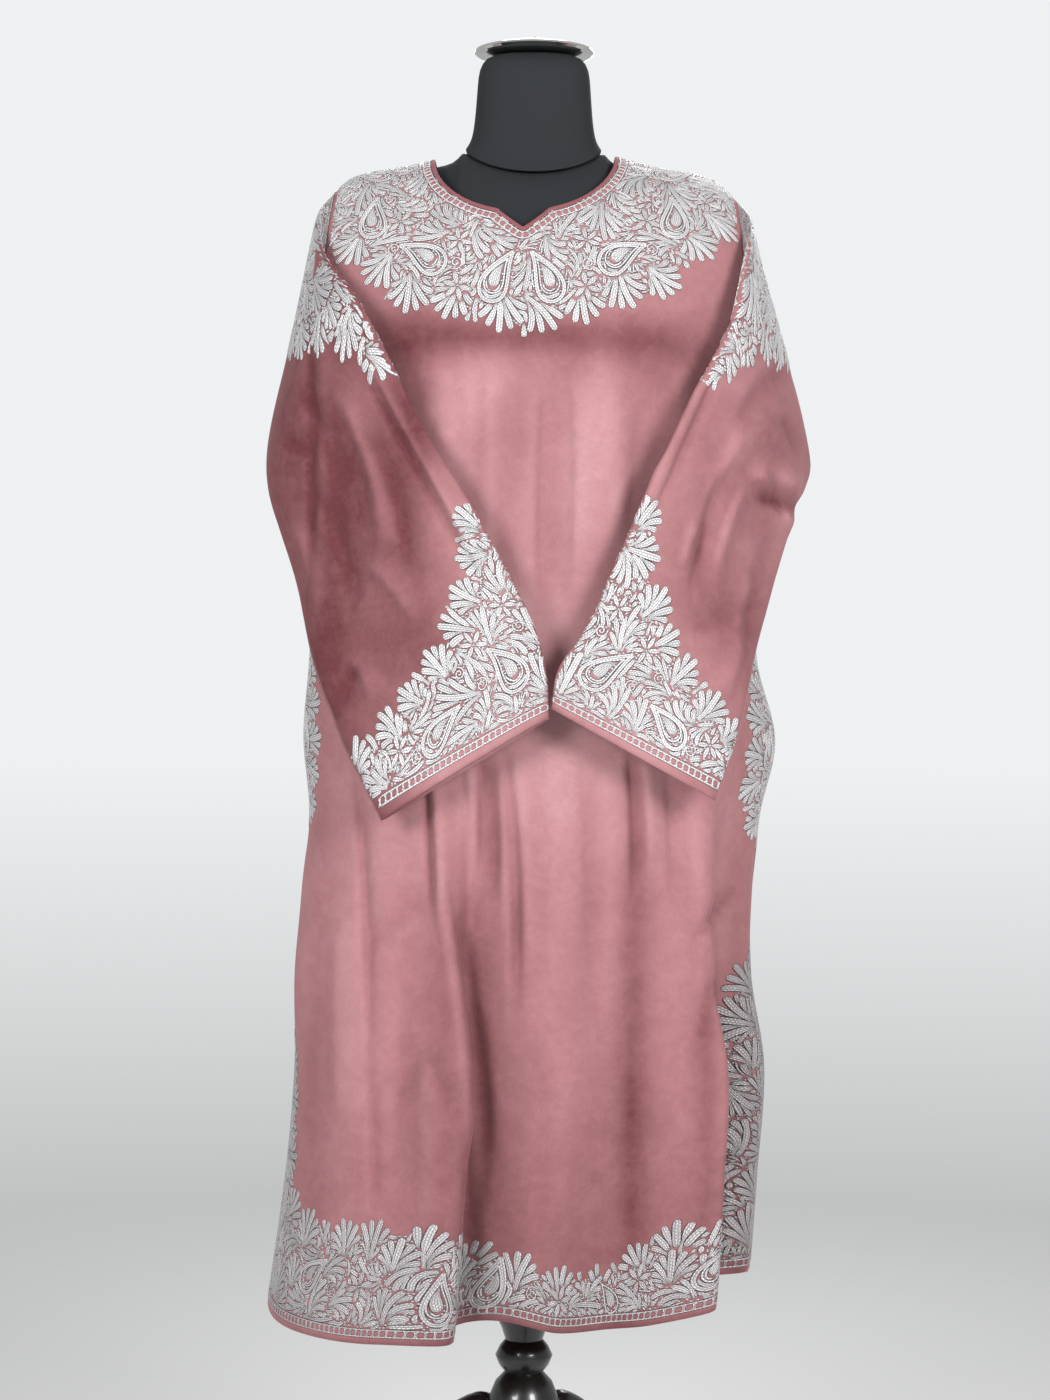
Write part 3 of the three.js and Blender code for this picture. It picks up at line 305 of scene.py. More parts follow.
FRONT = {"sections": FRONT_SECTIONS, "folds": FRONT_FOLDS, "drop": 64, "notch": NOTCH_DEEP, "side": -1,
         "hem": FRONT_HEM, "hem wide": 748, "hem reach": FRONT_HEM_REACH, "slits": (255, 300)}
BACK = {"sections": BACK_SECTIONS, "folds": BACK_FOLDS, "drop": 25, "notch": 0, "side": 1,
        "hem": BACK_HEM, "hem wide": 636, "hem reach": BACK_HEM_REACH, "slits": (250, 250)}

# ---------------------------------------------------------------- surfaces
def smooth(t):
    t = np.clip(t, 0, 1)
    return t * t * (3 - 2 * t)


def mix(a, b, t):
    return a + (b - a) * t


def lengths(line):
    """Way along a line to each of its points."""
    return np.concatenate([[0], np.cumsum(np.hypot(*np.diff(line, axis=0).T))])


def curve(rows, column, at):
    """Smooth values of one column of a table, at places given in its first column's measure."""
    keys = np.array([row[0] for row in rows], float)
    values = np.array([row[column] for row in rows], float)
    if keys[0] > keys[-1]:
        keys, values = keys[::-1], values[::-1]
    steps = np.arange(len(keys))
    low, high = np.maximum(steps - 1, 0), np.minimum(steps + 1, len(keys) - 1)
    slope = (values[high] - values[low]) / (keys[high] - keys[low])
    at = np.clip(at, keys[0], keys[-1])
    k = np.clip(np.searchsorted(keys, at, side="right") - 1, 0, len(keys) - 2)
    span = keys[k + 1] - keys[k]
    t = (at - keys[k]) / span
    ends = values[k] * (1 + 2 * t) * (1 - t) ** 2 + values[k + 1] * t * t * (3 - 2 * t)
    return ends + span * (slope[k] * t * (1 - t) ** 2 + slope[k + 1] * t * t * (t - 1))


def section(half, z, shares):
    """A level section of a half with its folds: x and y at shares of its width."""
    left, right, deep, square = (float(curve(half["sections"], c, z)) for c in (1, 2, 3, 4))
    opening = ARMHOLE * math.sqrt(smooth((z - UNDERARM) / (CHEST - UNDERARM) * ARMHOLE_ROUND))
    reach = math.acos(min(1, opening / deep) ** (square / 2))
    angle = np.linspace(-reach, reach, SECTION_POINTS)
    x = np.where(angle < 0, left, right) * np.sign(angle) * np.abs(np.sin(angle)) ** (2 / square)
    y = half["side"] * (deep * np.maximum(0, np.cos(angle)) ** (2 / square) + SEAM / 2)
    length = lengths(np.stack([x, y], -1))
    at = shares * length[-1]
    middle = (length[1:] + length[:-1]) / 2
    way_x, way_y = (np.interp(at, middle, np.diff(c) / np.diff(length)) for c in (x, y))
    x, y = (np.interp(at, length, c) for c in (x, y))
    edge = smooth(np.minimum(shares, 1 - shares) / FLAT_EDGE)
    for _, top, hem, wide, out, lean, start, grow, end in half["folds"]:
        if z > start:
            continue
        centre = mix(top, hem, min(1, max(0, (start - z) / (start - HEM))))
        fade = smooth((start - z) / grow) * (smooth((z - end) / FOLD_FADE) if end else 1)
        away = np.clip((shares - centre) / wide, -1, 1)
        size = (1 + np.cos(math.pi * away)) / 2 * fade * edge
        x = x - way_y * half["side"] * out * size + lean * size
        y = y + way_x * half["side"] * out * size
    return x, y


def grid_normals(points, around=False):
    across = (np.roll(points, -1, axis=1) - np.roll(points, 1, axis=1) if around
              else np.gradient(points, axis=1))
    normals = np.cross(np.gradient(points, axis=0), across)
    return normals / np.maximum(1e-9, np.linalg.norm(normals, axis=2, keepdims=True))


def crease_lift(points, creases):
    """How far the creases raise each point, from its place in the front view."""
    lift = np.zeros(points.shape[:-1])
    x, z = points[..., 0], points[..., 2]
    for (x0, z0), (x1, z1), bow, wide, depth in creases:
        way = np.array([x1 - x0, z1 - z0], float)
        length = float(np.hypot(*way))
        along = ((x - x0) * way[0] + (z - z0) * way[1]) / length ** 2
        bend = bow * 4 * along * (1 - along)
        across = ((x - x0) * way[1] - (z - z0) * way[0]) / length + bend
        near = np.exp(-(across / (wide * np.where(across > 0, STEEP, SOFT))) ** 2)
        ends = (smooth((along + CREASE_PAST) / CREASE_COMES)
                * smooth((1 + CREASE_PAST - along) / CREASE_GOES))
        lift += depth * near * ends
    return lift


class Cloth:
    """The surface of one sewn piece: points and outward normals over its width and its length."""

    def __init__(self, points, rows, outward, around=False):
        self.points, self.outward, self.around = points, outward, around
        self.rows = np.asarray(rows, float)
        self.settle()

    def settle(self):
        self.normals = grid_normals(self.points, self.around)
        if np.mean(np.sum(self.normals * self.outward, axis=2)) < 0:
            self.normals = -self.normals

    def crease(self, creases, where=1.0):
        lift = crease_lift(self.points, creases) * where * CREASE_DEEP
        self.points = self.points + self.normals * lift[..., None]
        self.settle()

    def at(self, across, down):
        """Points and normals at shares of the width and places down the length."""
        across, down = np.broadcast_arrays(np.asarray(across, float), np.asarray(down, float))
        columns = self.points.shape[1]
        column = np.mod(across, 1) * columns if self.around else np.clip(across, 0, 1) * (columns - 1)
        row = np.interp(down, self.rows, np.arange(len(self.rows)))
        i = np.minimum(row.astype(int), len(self.rows) - 2)
        j = column.astype(int) if self.around else np.minimum(column.astype(int), columns - 2)
        s, t = (row - i)[..., None], (column - j)[..., None]
        j, k = np.mod(j, columns), np.mod(j + 1, columns)

        def sample(grid):
            top = grid[i, j] * (1 - t) + grid[i, k] * t
            low = grid[i + 1, j] * (1 - t) + grid[i + 1, k] * t
            return top * (1 - s) + low * s
        normals = sample(self.normals)
        return sample(self.points), normals / np.linalg.norm(normals, axis=-1, keepdims=True)

    def row_widths(self):
        return np.linalg.norm(np.diff(self.points, axis=1), axis=2).sum(axis=1)

    def width_at(self, down):
        return np.interp(down, self.rows, self.row_widths())


def ridge_height(x):
    return curve(RIDGE, 1, np.abs(x))


def shoulder_start(half, shares):
    """Turn of each column's top edge round the shoulder: 0 on the ridge, more at the neck."""
    x = mix(*TIPS, shares)
    left, right = (mix(*TIPS, share) for share in NECK)
    corners = mix(ridge_height(left), ridge_height(right), (x - left) / (right - left))
    away = np.abs(x - (left + right) / 2)
    dip = np.sqrt(np.maximum(0, 1 - (2 * away / (right - left)) ** 2))
    notch = half["notch"] * np.maximum(0, 1 - away / NOTCH_HALF)
    height = np.where(dip > 0, corners - half["drop"] * dip - notch, ridge_height(x))
    share = (height - CHEST) / (ridge_height(x) - CHEST)
    return np.arccos(np.clip(share, -1, 1))


TURNS = np.linspace(0, QUARTER, 76)
ARC = lengths(np.stack([SHOULDER_DEEP * np.sin(TURNS), SHOULDER_HIGH * np.cos(TURNS)], -1))
SHARES = np.linspace(0, 1, 331)
LEVELS = np.arange(CHEST, LOWEST, -3.0)


def down_of_turn(turn):
    """Way down from the ridge, for a turn round the shoulder."""
    return np.interp(turn, TURNS, ARC)


def down_of_height(z):
    return ARC[-1] + CHEST - z


def panel(half):
    """Front or back: its shoulders round over from the ridge, and its body hangs in folds."""
    low = np.stack([np.stack(section(half, z, SHARES), -1) for z in LEVELS])
    x = mix(*TIPS, SHARES)
    edge, turn = half["side"] * SEAM / 2, TURNS[:-1, None]
    top = np.stack([
        mix(x, low[0, :, 0], 1 - np.cos(turn)),
        edge + (low[0, :, 1] - edge) * np.sin(turn),
        mix(CHEST, ridge_height(x), np.cos(turn))], -1)
    heights = np.repeat(LEVELS[:, None, None], len(SHARES), 1)
    points = np.concatenate([top, np.concatenate([low, heights], -1)])
    rows = np.concatenate([ARC[:-1], down_of_height(LEVELS)])
    return Cloth(points, rows, np.array([0, half["side"], 0]))


def sleeve(table, share, turn):
    """One sleeve, from its armhole to its cuff: front half, low line, back half."""
    downs = np.concatenate([down_of_turn(np.linspace(0, QUARTER, 42))[:-1],
                            down_of_height(np.linspace(CHEST, UNDERARM, 20))])
    count = len(downs) - 1
    armhole = []
    for ahead, behind in zip(front.at(share, downs), back.at(share, downs)):
        ring = np.concatenate([ahead, behind[-2:0:-1]])
        ring[[0, count]] = (ahead[[0, count]] + behind[[0, count]]) / 2
        armhole.append(ring)
    ring, normal = armhole
    away = np.cross(np.roll(ring, -1, 0) - np.roll(ring, 1, 0), normal) * turn
    away /= np.linalg.norm(away, axis=1, keepdims=True)
    steps = np.clip((ring[:, 2] - UNDERARM) / (ring[0, 2] - UNDERARM), 0, 1) * 2 - 1
    swell = np.maximum(0, 1 - steps ** 2) ** (SLEEVE_FULLNESS / 2)
    places, rings = [0, SEAM_RUN[0]], [ring + away * SEAM, ring + away * SEAM_RUN[1]]
    for place, *corners in table:
        top, low, rear, fore = np.array(corners, float)
        middle = (top + low) / 2
        bulge = np.where((np.arange(len(ring)) < count)[:, None], fore - middle, rear - middle)
        rings.append(middle + steps[:, None] * (top - middle) + bulge * swell[:, None])
        places.append(place)
    at = np.linspace(0, 1, SLEEVE_RINGS) ** SLEEVE_CROWDED
    grid = [[curve(list(zip(places, run)), 1, at) for run in spot]
            for spot in np.stack(rings).transpose(1, 2, 0)]
    grid = np.ascontiguousarray(np.array(grid).transpose(2, 0, 1))
    return Cloth(grid, at, grid - grid.mean(axis=1, keepdims=True), around=True)


front, back = panel(FRONT), panel(BACK)
sleeves = {"left": sleeve(SLEEVE_LEFT, 0.0, 1), "right": sleeve(SLEEVE_RIGHT, 1.0, -1)}
front.crease(FRONT_CREASES)
back.crease(BACK_CREASES)
for side, sewn in sleeves.items():
    from_seam = smooth((sewn.rows - 0.03) / 0.08)[:, None]
    on_back_half = smooth((np.linspace(0, 1, sewn.points.shape[1], endpoint=False) - 0.52) / 0.04)
    sewn.crease(SLEEVE_CREASES[side], from_seam * mix(FRONT_HALF_CREASED, 1, on_back_half)[None, :])


# ---------------------------------------------------------------- cloth meshes
def to_frame(points):
    return points * MM + np.array([AXIS.x, AXIS.y, 0])


def new_piece(name, vertices, faces, material, layer, values):
    """A piece from its points and faces, with a layer of values at its points for its finish."""
    mesh = bpy.data.meshes.new(name)
    mesh.from_pydata(to_frame(vertices).tolist(), [], faces)
    mesh.validate()
    mesh.shade_smooth()
    kind, slot = ("FLOAT", "value") if values.ndim == 1 else ("FLOAT_VECTOR", "vector")
    kept = mesh.attributes.new(layer, kind, "POINT")
    kept.data.foreach_set(slot, values.ravel().astype(np.float32))
    mesh.materials.append(material)
    piece = bpy.data.objects.new(name, mesh)
    bpy.context.scene.collection.objects.link(piece)
    return piece


def turned_out(faces, sample, vertices, normals):
    """The faces, all reversed if the sample doesn't face the way of the normals."""
    first, second, third = (vertices[i] for i in sample[:3])
    inward = np.dot(np.cross(second - first, third - first), normals[sample[0]]) < 0
    return [face[::-1] for face in faces] if inward else faces


def sheet_mesh(name, cloth, across, down, lie):
    """A thin closed wall inside a grid of points, with a layer of painted light and shade, which also stands
    for the lie of its pile, kept for the finish:
    strokes are soft patches placed in the front view, and the creases' troughs are painted darker and their
    ridges lighter."""
    base, strokes, creases = lie
    points, normals = cloth.at(across, down)
    outer = points + normals * CLOTH / 2
    # painted shade in the creases' troughs and painted light on their ridges, then the painted patches
    pile_and_painted_light = base + CREASE_PAINTED_LIGHT * crease_lift(outer, creases)
    for x, z, wide, high, amount in strokes:
        pile_and_painted_light += amount * np.exp(-((outer[..., 0] - x) / wide) ** 2 - ((outer[..., 2] - z) / high) ** 2)
    vertices = np.concatenate([outer.reshape(-1, 3), (outer - normals * CLOTH).reshape(-1, 3)])
    index = np.arange(pile_and_painted_light.size).reshape(pile_and_painted_light.shape)
    left, right = (index, np.roll(index, -1, axis=1)) if cloth.around else (index[:, :-1], index[:, 1:])
    quads = np.stack([left[:-1], left[1:], right[1:], right[:-1]], -1).reshape(-1, 4)
    faces = [quads, quads[:, ::-1] + pile_and_painted_light.size]
    rims = [(left[0], right[0], 1), (left[-1], right[-1], -1)]
    if not cloth.around:
        rims += [(index[:-1, 0], index[1:, 0], -1), (index[:-1, -1], index[1:, -1], 1)]
    faces += [np.stack([u, v, v + pile_and_painted_light.size, u + pile_and_painted_light.size], -1)[:, ::way] for u, v, way in rims]
    faces = turned_out(np.concatenate(faces).tolist(), quads[len(quads) // 2], vertices,
                       normals.reshape(-1, 3))
    return new_piece(name, vertices, faces, VELVET, "pile_and_painted_light", np.tile(np.clip(pile_and_painted_light, 0, 1).ravel(), 2))


def panel_mesh(name, cloth, half, columns, rows, lie):
    """A panel's mesh: its columns crowd at the neck's corners, and its rows start along the neck."""
    corners = [c + s * d for c, s in ((NECK[0], 1), (NECK[1], -1)) for d in CORNER_COLUMNS]
    notch = [NECK_MIDDLE + d * NOTCH_HALF / (TIPS[1] - TIPS[0]) for d in (-1, 0, 1)]
    plain = [s for s in np.linspace(0, 1, columns)
             if min(abs(s - c) for c in corners + notch) > COLUMNS_APART]
    shares = np.array(sorted(plain + corners + notch))
    top = down_of_turn(shoulder_start(half, shares))
    hem = down_of_height(curve(half["hem"], 1, shares))
    level = np.linspace(0, 1, rows)[:, None] * hem[None, :]
    down = level + top[None, :] * (1 - smooth(level / NECK_EASE))
    return sheet_mesh(name, cloth, shares[None, :], down, lie)


def sleeve_mesh(name, cloth, columns, rows, lie):
    around = np.linspace(0, 1, columns, endpoint=False)[None, :]
    return sheet_mesh(name, cloth, around, np.linspace(0, 1, rows)[:, None] ** 1.05, lie)


# ---------------------------------------------------------------- thread work, laid out on the flat
CELL = 0.7            # grid on which the covered cloth is kept
GAP = 0.5             # bare cloth left between neighbouring shapes
ROW = 2.2             # width of one row of chain stitch
STITCH = 3.0          # length of one chain stitch
THREAD_HIGH = 0.75    # how far the thread stands off the cloth
THREAD_SWELL = 0.4    # the thread spreads this far past its drawn edge
RAIL = 0.8            # half width of a single row
PETAL_OUT = 9         # the petals run this far past the worked region
SHORTEST = 7.5        # a petal cut shorter than this is left out
NARROWER = (1, 0.88, 0.76, 0.64, 0.52, 0.4)     # widths that a petal tries in turn, as shares
FAN_ROOM = 3.2        # clear distance round the seed of a fan
SEED_AWAY = 70        # cells between the seeds of one round of fans
LEAF_WIDEST, LEAF_LONGEST, LEAF_STEP, LEAF_ROOM = 2.4, 26, 2.2, 1.3
LEAVES_A_ROUND = 24
LEAF_AWAY, LEAF_SEEDS = 14, 400                  # cells between seeds, and how many are looked at
FANS_A_ROUND = 5
FAN_CHANCE, LEAF_CHANCE = 3.5, 1.6               # how far chance changes the order of the places
FROM_EDGE = 7         # how strongly fans turn away from the finished edge
LATEST, THINNEST = 0.6, 0.8                      # petals that start later or are thinner are left out
LEAF_THINNEST, LEAF_BEND = 0.55, 0.15
ON_BARE = 0.8         # share of a motif's line that has to lie on bare cloth
EYELET, BORDER_WIDE = 6.6, 7.8                   # spacing and width of the chain of eyelets
THREAD_SECTION = {    # rows of stitch side by side: places across, and heights, the last one below
    1: ((-1, 0, 1, 0), (0.1, 1, 0.1, -0.7)),
    2: ((-1, -0.5, 0, 0.5, 1, 0), (0.1, 1, 0.6, 1, 0.1, -0.7)),
    3: ((-1, -0.62, 0, 0.62, 1, 0), (0.1, 0.9, 1, 0.9, 0.1, -0.7)),
}


def toward(angle):
    return np.array([math.cos(angle), math.sin(angle)])


def leftward(headings):
    return np.stack([-np.sin(headings), np.cos(headings)], -1)


def left_sides(line):
    """Unit vectors to the left of a line, at each of its points."""
    way = np.gradient(line, axis=0)
    way /= np.maximum(1e-6, np.hypot(*way.T))[:, None]
    return np.stack([-way[:, 1], way[:, 0]], -1)


def eased(half):
    return np.convolve(np.pad(half, 1, mode="edge"), (0.25, 0.5, 0.25), "valid")


class Ground:
    """A stretch of cloth to be worked: a flat chart in millimetres, u across and v away from the
    finished edge, and what of it is still bare."""

    def __init__(self, name, cloth, place, box, inside, seed, painted_light):
        self.name, self.cloth, self.place, self.painted_light = name, cloth, place, painted_light
        self.chance = random.Random(seed)
        self.u = np.arange(box[0], box[2], CELL)
        self.v = np.arange(box[1], box[3], CELL)
        uu, vv = np.meshgrid(self.u, self.v)
        points, _ = cloth.at(*place(uu, vv))
        self.whole, self.limit = inside(points, uu, vv)
        self.bare = self.whole.copy()
        self.used = np.zeros(self.whole.shape, bool)
        self.strokes = []

    def look(self, chart, point, outside=False):
        """What a chart says at a point."""
        i = int(round((point[1] - self.v[0]) / CELL))
        j = int(round((point[0] - self.u[0]) / CELL))
        return chart[i, j] if 0 <= i < len(self.v) and 0 <= j < len(self.u) else outside

    def is_bare(self, point):
        return self.look(self.bare, point)

    def open(self, point, past_edge):
        if past_edge and self.look(self.limit, point) and not self.look(self.whole, point):
            return not self.look(self.used, point)
        return self.is_bare(point)

    def cover(self, line, half):
        reach = float(np.max(half)) + GAP
        low, high = line.min(0) - reach, line.max(0) + reach
        j0, j1 = np.clip(np.searchsorted(self.u, (low[0], high[0])), 0, len(self.u))
        i0, i1 = np.clip(np.searchsorted(self.v, (low[1], high[1])), 0, len(self.v))
        if j0 >= j1 or i0 >= i1:
            return
        uu, vv = np.meshgrid(self.u[j0:j1], self.v[i0:i1])
        near = np.zeros(uu.shape, bool)
        for a, b, wa, wb in zip(line[:-1], line[1:], half[:-1], half[1:]):
            way = b - a
            t = ((uu - a[0]) * way[0] + (vv - a[1]) * way[1]) / max(1e-9, way @ way)
            t = np.clip(t, 0, 1)
            away = np.hypot(uu - a[0] - t * way[0], vv - a[1] - t * way[1])
            near |= away < wa + (wb - wa) * t + GAP / 2
        self.bare[i0:i1, j0:j1] &= ~near
        self.used[i0:i1, j0:j1] |= near

    def lay(self, line, half):
        self.strokes.append((line, half))
        self.cover(line, half)

    def work(self, shapes):
        """Lays those of the shapes that fit on bare cloth; they may lie on each other."""
        kept = []
        for line, half in shapes:
            middle = [self.is_bare(p) for p in line[1:-1]]
            if sum(middle) >= ON_BARE * len(middle):
                kept.append((line, half))
        for line, half in kept:
            self.lay(line, half)

    def fitting(self, point, side, half, past_edge):
        """Half width that fits at a point: all of it, less beside what is there, or none."""
        if not self.open(point, past_edge):
            return 0
        for share in NARROWER:
            reach = side * (half * share + 0.1)
            if self.open(point + reach, past_edge) and self.open(point - reach, past_edge):
                return half * share
        return min(half, 0.6)

    def grow(self, shapes, past_edge=False):
        """Lays each shape as far as the cloth is bare, and narrows it beside what is there."""
        for line, half in shapes:
            wide = np.array([self.fitting(*spot, past_edge)
                             for spot in zip(line, left_sides(line), half)])
            ends = np.flatnonzero(np.diff(np.concatenate([[0], wide > 0, [0]])))
            runs = [(float(np.hypot(*np.diff(line[i:j], axis=0).T).sum()), i, j)
                    for i, j in zip(ends[::2], ends[1::2])]
            if not runs or max(runs)[0] < SHORTEST:
                continue
            _, i, j = max(runs)
            kept, size = line[i:j], wide[i:j]
            if i > LATEST * len(line) or len(kept) < 3 or size.mean() < THINNEST:
                continue
            size = eased(size)
            if j < len(line):
                size[-2:] *= (0.8, 0.4)
            elif len(size) > 3:
                size[-3:] = np.minimum(size[-3:], half[-3:])
            self.lay(kept, size)

    def sprays(self, count, size):
        """Sets fans into the widest bare places, pointing along them and away from the edge."""
        for _ in range(count):
            room = self.room(9)
            peaks = np.argwhere(room >= FAN_ROOM)
            if len(peaks) < 6:
                return
            order = np.argsort([-room[i, j] - self.chance.random() * FAN_CHANCE for i, j in peaks])
            chosen = []
            for i, j in peaks[order]:
                if len(chosen) < FANS_A_ROUND and all(abs(i - a) + abs(j - b) > SEED_AWAY for a, b in chosen):
                    chosen.append((i, j))
            for i, j in chosen:
                seed = np.array([self.u[j], self.v[i]])
                turns = np.linspace(0, 2 * math.pi, 20, endpoint=False) + self.chance.random()
                reach = [self.bare_run(seed, a, size * 0.8) + FROM_EDGE * math.sin(a) for a in turns]
                heading = float(turns[int(np.argmax(reach))])
                foot = seed - self.bare_run(seed, heading + math.pi, size * 0.6) * toward(heading)
                sweep = self.chance.choice((-1, 1)) * self.chance.uniform(0.35, 1.1)
                length = size * self.chance.uniform(0.75, 1.15)
                self.grow(fan(foot, heading - 0.4 * sweep, length, sweep, 9, 0.72, 5.7))

    def bare_run(self, point, heading, longest):
        """How far the cloth is bare from a point, along a heading."""
        way, reach = toward(heading), 0.0
        while reach < longest and self.is_bare(point + way * (reach + 1.2)):
            reach += 1.2
        return reach

    def room(self, deepest=7):
        """Distance from each bare cell to the nearest covered one."""
        bare = np.pad(self.bare, 1)
        total = np.zeros(bare.shape)
        for step in range(deepest):
            total += bare
            core = bare[1:-1, 1:-1] & bare[:-2, 1:-1] & bare[2:, 1:-1] & bare[1:-1, :-2] & bare[1:-1, 2:]
            if step % 2:
                core &= bare[:-2, :-2] & bare[2:, 2:] & bare[:-2, 2:] & bare[2:, :-2]
            bare = np.pad(core, 1)
        return total[1:-1, 1:-1] * CELL

    def fill(self, rounds=40):
        """Fills what is left with leaf shapes that run along the open places."""
        for _ in range(rounds):
            room = self.room()
            peaks = np.argwhere(room >= LEAF_ROOM)
            if len(peaks) < 12:
                break
            weight = room[peaks[:, 0], peaks[:, 1]]
            luck = np.array([self.chance.random() for _ in weight])
            order = np.argsort(-weight - luck * LEAF_CHANCE)
            used = []
            for i, j in peaks[order[:LEAF_SEEDS]]:
                seed = np.array([self.u[j], self.v[i]])
                if any(abs(i - a) + abs(j - b) < LEAF_AWAY for a, b in used) or not self.is_bare(seed):
                    continue
                used.append((i, j))
                self.leaf(seed, room)
                if len(used) >= LEAVES_A_ROUND:
                    break
            if not used:
                break

    def leaf(self, seed, room):
        """A leaf that runs both ways from its seed along the middle of an open place, or a dot."""
        def depth(point):
            return self.look(room, point) if self.is_bare(point) else 0.0

        def trace(point, heading, length):
            line = []
            for _ in range(int(length / LEAF_STEP)):
                turns = [heading + d for d in (-0.5, -0.25, 0, 0.25, 0.5)]
                goals = [point + LEAF_STEP * toward(a) for a in turns]
                depths = [depth(goal) - LEAF_BEND * abs(a - heading) for goal, a in zip(goals, turns)]
                best = int(np.argmax(depths))
                if depths[best] < 0.8:
                    break
                point, heading = goals[best], turns[best]
                line.append(point)
            return line
        headings = np.linspace(0, 2 * math.pi, 16, endpoint=False) + self.chance.random()
        heading = float(headings[int(np.argmax([depth(seed + 3.5 * toward(a)) for a in headings]))])
        ahead = trace(seed, heading, LEAF_LONGEST * 0.6)
        behind = trace(seed, heading + math.pi, LEAF_LONGEST * 0.5)
        line = np.array(behind[::-1] + [seed] + ahead)
        if len(line) < 3:
            dot = np.array([seed - [0.9, 0], seed, seed + [0.9, 0]])
            self.lay(dot, np.full(3, min(1.5, max(0.6, depth(seed) - GAP / 2))))
            return
        half = eased(np.clip([depth(p) - GAP / 2 for p in line], LEAF_THINNEST, LEAF_WIDEST))
        ends = np.linspace(0, 1, len(line))
        self.lay(line, half * np.clip(np.sqrt(1 - np.abs(2 * ends - 1) ** 4) + 0.35, 0, 1))

    def free_edge(self, first=0.0, last=1.0):
        """The region's edge away from the finished one, as a smooth line."""
        inside = np.flatnonzero(self.whole.any(0))
        inside = inside[int(first * len(inside)):int(last * len(inside))]
        top = len(self.v) - 1 - np.argmax(self.whole[::-1, inside], 0)
        line = np.stack([self.u[inside], self.v[top]], -1)
        line[:, 1] = np.convolve(np.pad(line[:, 1], 7, mode="edge"), np.ones(15) / 15, "valid")
        return line


def even(line, spacing):
    """Points along a line at even distances, and the heading at each."""
    length = lengths(line)
    at = np.linspace(0, length[-1], max(2, int(round(length[-1] / spacing)) + 1))
    points, ahead, behind = (np.stack([np.interp(at + past, length, line[:, c]) for c in (0, 1)], -1)
                             for past in (0, 2, -2))
    way = ahead - behind
    return points, np.arctan2(way[:, 1], way[:, 0])


def shifted(line, distance):
    points, heading = even(line, 1.5)
    return points + distance * leftward(heading)


def petal(base, heading, length, wide, bow=0.0, pointed=False):
    """Line and half widths of a petal, round or pointed at its tip and bent by its bow."""
    count = max(4, int(length / 3.3) + 1)
    tip = min(0.45, wide / 2 / length)
    if pointed:
        t = np.linspace(0, 1, count + 2)
        half = wide / 2 * np.maximum(0.12, np.sin(math.pi * np.clip(t, 0.03, 0.97)) ** 0.8)
    else:
        t = np.concatenate([np.linspace(0, 1 - tip, count), 1 - tip * np.array([0.5, 0.2, 0.03])])
        round_end = np.sqrt(np.maximum(0, 1 - (np.maximum(0, t - 1 + tip) / tip) ** 2))
        half = wide / 2 * mix(0.58, 1, smooth(t / 0.55)) * np.maximum(0.2, round_end)
    turn = heading + bow * (t - 0.3)
    steps = np.stack([np.cos(turn), np.sin(turn)], -1)[1:] * np.diff(t)[:, None] * length
    return np.concatenate([[base], base + np.cumsum(steps, 0)]), half


def fan(base, heading, size, sweep=0.0, count=7, spread=0.82, wide=6.2):
    """Petals close beside each other from one foot, the middle one first, curving apart."""
    shapes = []
    for k in sorted(range(count), key=lambda k: abs(2 * k - count + 1)):
        side = 2 * k / (count - 1) - 1
        length = size * (1 - 0.3 * side ** 2 - 0.1 * side * np.sign(sweep)) * (1 + 0.05 * (k % 2))
        aim = heading + side * spread
        foot = base + 3 * toward(aim)
        shapes.append(petal(foot, aim - 0.2 * side, length, wide, 1.05 * side + sweep))
    return shapes


def teardrop(middle, heading, size, flip):
    """Outline of a paisley: round at the foot, its tip bent to one side."""
    turn = np.linspace(0.16, 2 * math.pi - 0.16, 40)
    x = np.sin(turn) * np.sin(turn / 2) ** 1.5 * size * 0.36
    y = np.cos(turn) * size * 0.5
    x = x + flip * size * 0.26 * np.maximum(0, y / size + 0.25) ** 2 * 1.8
    c, s = toward(heading - math.pi / 2)
    return middle + np.stack([c * x - s * y, s * x + c * y], -1)


def paisley(middle, heading, size, flip):
    outer, ring, inner = (teardrop(middle, heading, size * share, flip) for share in (1, 0.7, 0.46))
    half_count = len(inner) // 2
    left, right = inner[:half_count], inner[::-1][:half_count]
    wide = np.hypot(*(left - right).T) / 2
    pick = np.linspace(0, half_count - 1, 9).astype(int)
    return [(outer, np.full(len(outer), 1.9)), (ring, np.full(len(ring), 1.0)),
            (((left + right) / 2)[pick], np.maximum(0.5, wide[pick]))]


def star(middle, size, count):
    """Pointed petals round a middle."""
    headings = [0.3 + 2 * math.pi * k / count for k in range(count)]
    return [petal(middle + 1.6 * toward(a), a, size, size * 0.4, pointed=True) for a in headings]


def curl(middle, heading, size, flip):
    """A single row wound inwards."""
    t = np.linspace(0, 1, 26)
    turn = heading + flip * (0.4 + t * 4.0 * math.pi * 0.85)
    radius = size * (1 - 0.86 * t ** 0.8)
    line = middle + radius[:, None] * np.stack([np.cos(turn), np.sin(turn)], -1)
    return [(line, np.full(len(line), RAIL) * (1 - 0.25 * t))]


